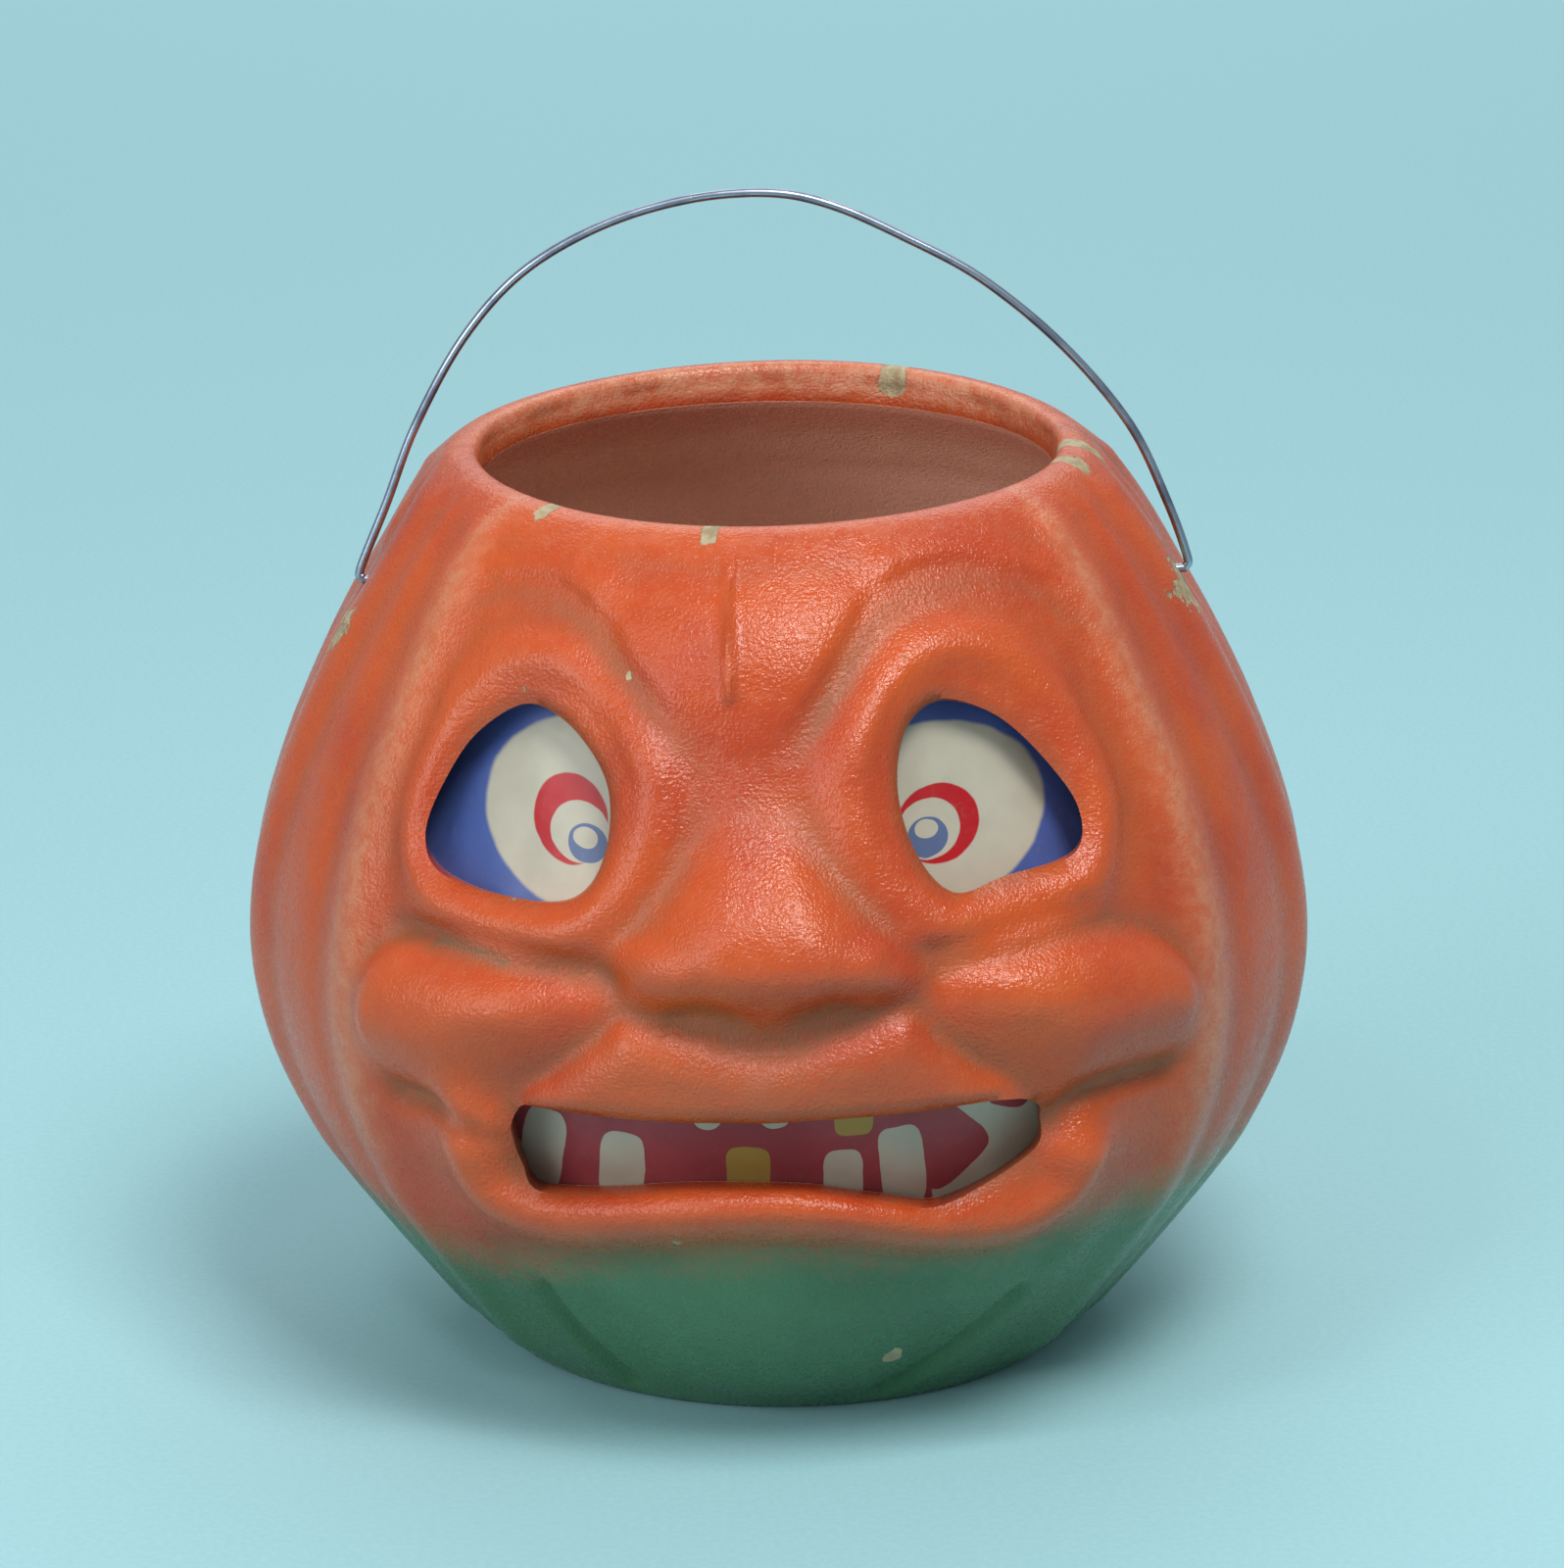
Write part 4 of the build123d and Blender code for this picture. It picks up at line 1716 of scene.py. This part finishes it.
    def draw_to(
        self, spot: Spots, outline: Places, faces: Array, outer: Array, inner: Array
    ) -> tuple[Array, Array]:
        """Finds what an opening cuts away and draws the points beside it to its outline.

        Args:
            spot: places of the vertices, changed here.
            outline: the opening by angle and height.
            faces: vertices of each face.
            outer: rows of the outside.
            inner: rows of the inside.

        Returns:
            What is cut, and the distance of each vertex from the outline.
        """
        face = self.form.face
        place = (face.across(spot.angle), spot.height)
        away, near_side, near_up = face.signed_distance(place, outline)
        kept = (spot.height < self.lowest_cut) | (spot.inner_height > self.form.lip_start)
        away = np.where(kept, FAR, away)
        removed = away < 0
        touched = np.zeros(len(away), bool)
        touched[np.unique(faces[removed[faces].any(axis=1)])] = True
        edge = touched & ~removed
        top = int(np.argmax(outer[:, 1]))
        outer_radius = np.interp(near_up, outer[:top, 1], outer[:top, 0])
        inner_radius = np.interp(near_up, inner[:, 1], inner[:, 0])
        spot.angle = np.where(edge, np.degrees(near_side / face.belly_radius), spot.angle)
        spot.height = np.where(edge, near_up, spot.height)
        spot.radius = np.where(edge, outer_radius, spot.radius)
        spot.inner_height = np.where(edge, near_up, spot.inner_height)
        spot.inner_radius = np.where(edge, inner_radius, spot.inner_radius)
        return removed, np.where(edge, 0.0, np.abs(away))

    def inner_places(self, spot: Spots, moulded: Array, gap: Array) -> dict[str, Array]:
        """Finds where the inner skin lies, with straight walls through the face openings.

        Args:
            spot: places of the vertices.
            moulded: radius of the outer skin.
            gap: distance from the nearest face opening.

        Returns:
            Angle, height and radius of the inner skin for each vertex, by name.
        """
        side = moulded * np.sin(np.radians(spot.angle)) / np.maximum(spot.inner_radius, 1.0)
        straight = np.degrees(np.arcsin(np.clip(side, -self.steepest, self.steepest)))
        share = bell(gap / self.sill_reach) * (self.half is Half.FRONT)
        height = spot.inner_height - self.sill_drop * share
        radii, levels = zip(*self.form.inside)
        radius = np.interp(height, levels, radii)
        return {
            "inner_angle": spot.angle + share * (straight - spot.angle),
            "inner_height": height,
            "inner_radius": np.where(share > self.least_share, radius, spot.inner_radius),
        }

    def shape_inside(self, piece: bpy.types.Object, count: int) -> None:
        """Moves the inner skin to the inside of the mould.

        Args:
            piece: the object after its wall was added.
            count: vertices of the outer skin.
        """
        spots = Mesh.points(piece)
        skin = np.arange(len(spots)) >= count
        angle, radius, height = (
            Mesh.read(piece, f"inner_{name}") for name in ("angle", "radius", "height")
        )
        inside = self.form.place(angle, radius, height)
        Mesh.set_points(piece, np.where(skin[:, None], inside, spots))
        sprayed = self.overspray * ease((height - self.spray_height) / self.spray_run)
        Mesh.write(piece, "inner", np.where(skin, 1.0 - sprayed, 0.0))
        for name in ("dust_and_highlight", "bare"):
            Mesh.write(piece, name, np.where(skin, 0.0, Mesh.read(piece, name)))


@dataclass(frozen=True)
class PrintedPaper:
    """Lithographed paper behind the openings.

    Attributes:
        ground: colour of the whole sheet.
        marks: printed marks from the lowest up.
        plain: colour of the unprinted back.
        fleck: colour of the flecks in the paper.
        ground_shade: share of its colour where the ground is darkest.
        mark_shade: share of its colour where a mark is darkest.
        waver: waves of the printed edges to the metre, and how far they move.
        gloss: roughness of the shiniest and of the dullest ink.
        specular: strength of the shine.
    """

    ground: Colour
    marks: tuple[Mark, ...]
    plain: Colour = (0.50, 0.41, 0.28)
    fleck: Colour = (0.30, 0.24, 0.16)
    ground_shade: float = 0.8
    mark_shade: float = 0.86
    waver: Pair = (220.0, 0.0006)
    gloss: Pair = (0.28, 0.45)
    specular: float = 0.35

    def build(self, name: str) -> bpy.types.Material:
        """Makes the printed paper.

        Args:
            name: name of the material.

        Returns:
            The material.
        """
        nodes = Nodes(name)
        spots = nodes.wavering(*self.waver)
        grain, cloud = nodes.noise(700.0), nodes.noise(90.0)
        worn, dull = nodes.ramp(cloud, 0.3, 0.75), nodes.ramp(cloud, 0.3, 0.7)
        ink = nodes.mix(dull, self.ground, shaded(self.ground, self.ground_shade))
        for mark in self.marks:
            tone = nodes.mix(worn, mark.colour, shaded(mark.colour, self.mark_shade))
            ink = nodes.mix(nodes.blob(mark, spots), ink, tone)
        ink = nodes.mix(nodes.ramp(nodes.attribute("back"), 0.4, 0.6), ink, self.plain)
        nodes.shine(
            Base_Color=nodes.mix(nodes.ramp(grain, 0.55, 0.8, 0.0, 0.12), ink, self.fleck),
            Roughness=nodes.ramp(cloud, 0.3, 0.7, *self.gloss),
            Specular_IOR_Level=self.specular,
            Normal=nodes.bump(nodes.noise(130.0, 2.0), 0.0006, 0.4),
        )
        return nodes.material


CREAM: Colour = (0.47, 0.43, 0.345)
BLUE: Colour = (0.060, 0.105, 0.33)
SLATE: Colour = (0.09, 0.13, 0.26)
SCARLET: Colour = (0.43, 0.004, 0.010)
CRIMSON: Colour = (0.32, 0.055, 0.066)
GOLD: Colour = (0.37, 0.245, 0.060)

LEFT_EYE_PRINT = PrintedPaper(BLUE, (
    Mark(CREAM, (-27.0, 98.5), (16.2, 13.5)),
    Mark(SCARLET, (-30.6, 97.9), (5.5, 6.1)),
    Mark(CREAM, (-29.2, 96.3), (4.4, 4.1)),
    Mark(SLATE, (-28.1, 94.9), (2.9, 2.65)),
    Mark(CREAM, (-28.4, 95.6), (1.8, 1.4)),
))
RIGHT_EYE_PRINT = PrintedPaper(BLUE, (
    Mark(CREAM, (21.5, 99.0), (16.7, 12.4)),
    Mark(SCARLET, (22.6, 97.8), (6.0, 5.3)),
    Mark(CREAM, (21.25, 97.2), (4.4, 4.05)),
    Mark(SLATE, (20.95, 96.1), (2.95, 2.7)),
    Mark(CREAM, (20.8, 97.2), (1.7, 1.3)),
))
MOUTH_PRINT = PrintedPaper(CRIMSON, (
    Mark(CREAM, (33.0, 48.0), (11.0, 13.0), 0.0, True),
    Mark(CRIMSON, (22.8, 50.3), (6.3, 6.3), 45.0, True, 0.03),
    Mark(CRIMSON, (33.5, 58.2), (3.2, 3.0), 20.0, True, 0.03),
    Mark(CREAM, (-35.3, 47.4), (3.2, 7.6), 8.0, True),
    Mark(CREAM, (-23.4, 46.6), (3.3, 6.0), 3.0, True),
    Mark(GOLD, (-4.9, 47.6), (3.2, 3.8), 0.0, True),
    Mark(CREAM, (8.9, 46.0), (2.9, 4.8), 0.0, True),
    Mark(CREAM, (17.6, 47.4), (3.3, 6.8), -6.0, True),
    Mark(CREAM, (-10.9, 55.9), (2.0, 1.8)),
    Mark(CREAM, (-1.1, 56.3), (2.2, 1.8)),
    Mark(GOLD, (10.4, 55.6), (2.8, 2.4), 0.0, True),
))


@dataclass
class PaperInsert:
    """Printed paper glued behind an opening.

    Attributes:
        node: solid that it dresses, which gives its place and size.
        form: the form of the pail.
        band: radius and height of the inside wall at both ends of the sheet's band.
        glue_gap: how far it lies behind the wall.
        corner: radius of its corners.
        columns: points across it.
        rows: points up it.
        wave: depth of its waves.
        wave_turns: how fast they turn across and up.
        thickness: its thickness.
        smooth_angle: bend from which an edge is sharp.
    """

    node: str
    form: PumpkinForm
    band: Places
    glue_gap: float = 0.35
    corner: float = 6.0
    columns: int = 49
    rows: int = 33
    wave: float = 0.12
    wave_turns: Pair = (0.55, 0.2)
    thickness: float = 0.35
    smooth_angle: float = 40.0

    def build(self) -> bpy.types.Object:
        """Models the sheet.

        Returns:
            The finished object.
        """
        piece = Mesh.grid(f"{self.node}_sheet", self.columns, self.rows)
        flat = Mesh.points(piece)
        lowest, highest = np.array(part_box(self.node)) / MM
        height = lowest[2] + (highest[2] - lowest[2]) * (flat[:, 1] + 1) / 2
        close = np.minimum(height - lowest[2], highest[2] - height)
        drop = np.clip(self.corner - close, 0, None)
        inset = self.corner - np.sqrt(np.maximum(self.corner**2 - drop**2, 0))
        middle, half = (lowest[0] + highest[0]) / 2, (highest[0] - lowest[0]) / 2
        side = middle + flat[:, 0] * (half - inset)
        radii, levels = zip(*self.band)
        radius = np.interp(height, levels, radii) - self.glue_gap
        shift = -height * math.sin(math.radians(self.form.lean))
        depth = -np.sqrt(np.maximum(radius**2 - (side - shift) ** 2, 1.0))
        across, up = self.wave_turns
        depth += self.wave * (1 - np.sin(side * across + height * up))
        Mesh.set_points(piece, np.stack((side, depth, height), axis=1) * MM)
        count = len(piece.data.vertices)
        Mesh.apply(piece, "SOLIDIFY", thickness=self.thickness * MM, offset=-1.0)
        Mesh.write(piece, "back", np.arange(len(piece.data.vertices)) >= count)
        Mesh.finish(piece, self.smooth_angle)
        return piece


@dataclass(frozen=True)
class BrightWire:
    """Drawn steel wire with a cool shine.

    Attributes:
        steel: its colour.
        dull: its colour where it is stained.
        stain_scale: grains of the stain to the metre.
        gloss: roughness of the shiniest and of the dullest steel.
    """

    steel: Colour = (0.42, 0.47, 0.58)
    dull: Colour = (0.20, 0.23, 0.31)
    stain_scale: float = 140.0
    gloss: Pair = (0.22, 0.42)

    def build(self, name: str) -> bpy.types.Material:
        """Makes the wire's finish.

        Args:
            name: name of the material.

        Returns:
            The material.
        """
        nodes = Nodes(name)
        darkening = nodes.noise(self.stain_scale, 4.0)
        nodes.shine(
            Base_Color=nodes.mix(nodes.ramp(darkening, 0.4, 0.7), self.steel, self.dull),
            Roughness=nodes.ramp(darkening, 0.3, 0.7, *self.gloss),
            Metallic=1.0,
        )
        return nodes.material


@dataclass
class WireBail:
    """Bent wire handle that hooks into the seam holes.

    Attributes:
        hinge: place of the hinge in millimetres.
        lean: lean of the hinge in degrees.
        feet: distance of the left and the right foot from the hinge's middle.
        rise: height of the arch above the hinge.
        hook: distance of each hook from the hinge's middle, and its length.
        bend: radius of the two bends at each foot.
        bend_near: share of it that a bend's middle lies from its corner.
        foot_tuck: share of that by which the foot's bend is drawn in.
        leg_lean: how far a leg has leant in where it starts.
        leg_start: height where a leg starts, in bends.
        radius: radius of the wire.
        arch: points of the arch, as shares of the feet and of the rise.
        route_steps: points between two corners of the route.
        rounding: how finely the wire is rounded.
        smooth_angle: bend from which an edge is sharp.
    """

    hinge: Point = (-1.7697, 0.0, 119.3738)
    lean: float = 0.8493
    feet: Pair = (63.0, 64.1)
    rise: float = 59.2
    hook: Pair = (52.79, 4.6)
    bend: float = 1.4
    bend_near: float = 0.3
    foot_tuck: float = 0.6
    leg_lean: float = 0.15
    leg_start: float = 1.5
    radius: float = 0.7
    arch: Places = (
        (-0.930, 0.205), (-0.855, 0.405), (-0.735, 0.630), (-0.590, 0.800), (-0.400, 0.918),
        (-0.190, 0.985), (0.010, 1.000), (0.160, 0.965), (0.330, 0.880), (0.510, 0.770),
        (0.700, 0.595), (0.860, 0.385), (0.950, 0.180),
    )
    route_steps: int = 8
    rounding: int = 4
    smooth_angle: float = 45.0

    def foot_bends(self, side: int) -> list[Place]:
        """Bends one hook.

        Args:
            side: -1 for the left hook and 1 for the right one.

        Returns:
            Points from the hook's tip to the foot of its leg.
        """
        inner, length = self.hook
        foot, near, far = self.feet[side > 0], self.bend * self.bend_near, self.bend
        points = (
            (inner, length), (inner, far), (inner + near, near), (inner + far, 0.0),
            (foot - far, 0.0), (foot - near * self.foot_tuck, near),
            (foot - self.leg_lean, far * self.leg_start),
        )
        return [(side * across, up) for across, up in points]

    def build(self) -> bpy.types.Object:
        """Models the wire as a tube along its route.

        Returns:
            The finished object.
        """
        arch = [(across * self.feet[across > 0], up * self.rise) for across, up in self.arch]
        corners = self.foot_bends(-1) + arch + self.foot_bends(1)[::-1]
        route = flowing_line(tuple(corners), self.route_steps)
        lean = math.radians(self.lean)
        across = np.array((math.cos(lean), 0.0, math.sin(lean)))
        up = np.array((-math.sin(lean), 0.0, math.cos(lean)))
        spots = (np.array(self.hinge) + route[:, :1] * across + route[:, 1:] * up) * MM
        weighted = np.concatenate((spots, np.ones((len(spots), 1))), axis=1)
        Mesh.clear_selection()
        bpy.ops.curve.primitive_nurbs_path_add()
        piece = bpy.context.object
        piece.name = "wire_bail_form"
        piece.location = (0.0, 0.0, 0.0)
        piece.data.splines.clear()
        line = piece.data.splines.new("POLY")
        line.points.add(len(spots) - 1)
        line.points.foreach_set("co", weighted.astype(np.float32).ravel())
        piece.data.bevel_depth = self.radius * MM
        piece.data.bevel_resolution = self.rounding
        piece.data.use_fill_caps = True
        bpy.ops.object.convert(target="MESH")
        Mesh.merge(piece)
        Mesh.finish(piece, self.smooth_angle)
        return piece


@dataclass(frozen=True)
class Lamp:
    """Soft square lamp.

    Attributes:
        name: its name.
        place: where it stands, in metres.
        aim: point that it shines at.
        size: its width.
        power: its power in watts.
        colour: its colour.
    """

    name: str
    place: Point
    aim: Point
    size: float
    power: float
    colour: Colour

    def build(self) -> None:
        """Adds the lamp, turned to its aim and unseen by the camera."""
        Mesh.clear_selection()
        bpy.ops.object.light_add(type="AREA", location=self.place)
        lamp = bpy.context.object
        lamp.name = self.name
        lamp.data.size = self.size
        lamp.data.energy = self.power
        lamp.data.color = self.colour
        lamp.visible_camera = False
        side, back, up = np.array(self.aim) - np.array(self.place)
        pitch, turn = math.atan2(math.hypot(side, back), -up), math.atan2(side, -back) + math.pi
        lamp.rotation_euler = (pitch, 0.0, turn)


@dataclass
class Studio:
    """Floor, backdrop, lights and camera.

    Attributes:
        camera_back: camera distance in front of the pail, in millimetres.
        camera_up: camera height.
        aim_up: height that the camera looks at.
        focal_pixels: focal length in pixels of the picture.
        picture_height: height of the picture in pixels.
        sensor: width of the camera's sensor.
        far_end: distance in metres at which the camera stops seeing.
        floor_colour: colour of the floor.
        floor_shade: share of that colour where the floor is darkest.
        floor_size: width of the floor in metres.
        sky_colour: colour of the light from all round.
        sky_strength: strength of that light.
        lamps: the lamps over the pail, beside it and over the floor behind it.
    """

    camera_back: float = 900.0
    camera_up: float = 341.8
    aim_up: float = 85.8
    focal_pixels: float = 6153.0
    picture_height: float = 1600.0
    sensor: float = 36.0
    far_end: float = 20.0
    floor_colour: Colour = (0.35, 0.615, 0.675)
    floor_shade: float = 0.95
    floor_size: float = 12.0
    sky_colour: Colour = (0.80, 0.92, 0.95)
    sky_strength: float = 0.40
    lamps: tuple[Lamp, ...] = (
        Lamp("key_lamp", (0.30, -0.60, 1.25), (0.0, 0.0, 0.09), 0.5, 12.6, (1.0, 0.97, 0.93)),
        Lamp("glint_lamp", (-0.40, -0.62, 1.10), (0.0, 0.0, 0.11), 0.16, 1.3, (1.0, 0.98, 0.96)),
        Lamp("fill_lamp", (-1.45, -1.30, 0.85), (0.0, 0.0, 0.07), 1.2, 16.0, (0.95, 0.98, 1.0)),
        Lamp("floor_lamp", (0.0, 2.3, 1.7), (0.0, 2.1, 0.0), 2.4, 30.0, (0.97, 1.0, 1.0)),
    )

    def build(self) -> None:
        """Sets the whole stage."""
        self.camera()
        self.sky()
        for lamp in self.lamps:
            lamp.build()
        self.backdrop()
        bpy.context.scene.view_settings.view_transform = "Standard"

    def camera(self) -> None:
        """Places the camera where the photograph was taken from."""
        Mesh.clear_selection()
        pitch = math.atan2(self.camera_up - self.aim_up, self.camera_back)
        bpy.ops.object.camera_add(
            location=(0.0, -self.camera_back * MM, self.camera_up * MM),
            rotation=(math.pi / 2 - pitch, 0.0, 0.0),
        )
        camera = bpy.context.object
        camera.data.sensor_width = self.sensor
        camera.data.lens = self.focal_pixels * self.sensor / self.picture_height
        camera.data.clip_end = self.far_end
        bpy.context.scene.camera = camera

    def sky(self) -> None:
        """Lights the pail softly from all round."""
        world = bpy.context.scene.world or bpy.data.worlds.new("studio")
        bpy.context.scene.world = world
        world.use_nodes = True
        sky = world.node_tree.nodes["Background"]
        sky.inputs["Color"].default_value = (*self.sky_colour, 1.0)
        sky.inputs["Strength"].default_value = self.sky_strength

    def backdrop(self) -> None:
        """Adds the wide plain floor."""
        Mesh.clear_selection()
        bpy.ops.mesh.primitive_plane_add(size=self.floor_size)
        floor = bpy.context.object
        floor.name = "studio_floor"
        nodes = Nodes("studio_paper")
        deeper = shaded(self.floor_colour, self.floor_shade)
        grain = nodes.ramp(nodes.noise(900.0), 0.3, 0.7)
        nodes.shine(Base_Color=nodes.mix(grain, self.floor_colour, deeper), Roughness=0.85)
        floor.data.materials.append(nodes.material)


def dress(
    piece: bpy.types.Object, finish: bpy.types.Material, node: str, body: str
) -> None:
    """Gives a piece its finish and ties it to the solid that it dresses.

    Args:
        piece: the finished piece.
        finish: its material.
        node: solid that it replaces.
        body: body that it moves with.
    """
    piece.data.materials.append(finish)
    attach(piece, body)
    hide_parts(node)
    LOG.info("%s: %d faces", piece.name, len(piece.data.polygons))


def main() -> None:
    """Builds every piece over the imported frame."""
    logging.basicConfig(level=logging.INFO)
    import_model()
    form = PumpkinForm()
    paint = PaintedPulp().build("painted_pulp")
    for half, step, columns in ((Half.FRONT, 1.0, 261), (Half.BACK, 1.6, 151)):
        shell = PulpShell(half, form, step, columns).build()
        dress(shell, paint, f"{half.name.lower()}_shell", "pail")
    mouth_band, eye_band = form.inside[2:4], form.inside[4:6]
    inserts = (
        (PaperInsert("left_eye_insert", form, eye_band), LEFT_EYE_PRINT),
        (PaperInsert("right_eye_insert", form, eye_band), RIGHT_EYE_PRINT),
        (PaperInsert("mouth_insert", form, mouth_band), MOUTH_PRINT),
    )
    for insert, ink in inserts:
        paper = ink.build(f"{insert.node}_print")
        dress(insert.build(), paper, insert.node, "pail")
    dress(WireBail().build(), BrightWire().build("bright_wire"), "wire_bail", "bail")
    Studio().build()


if __name__ == "__main__":
    main()
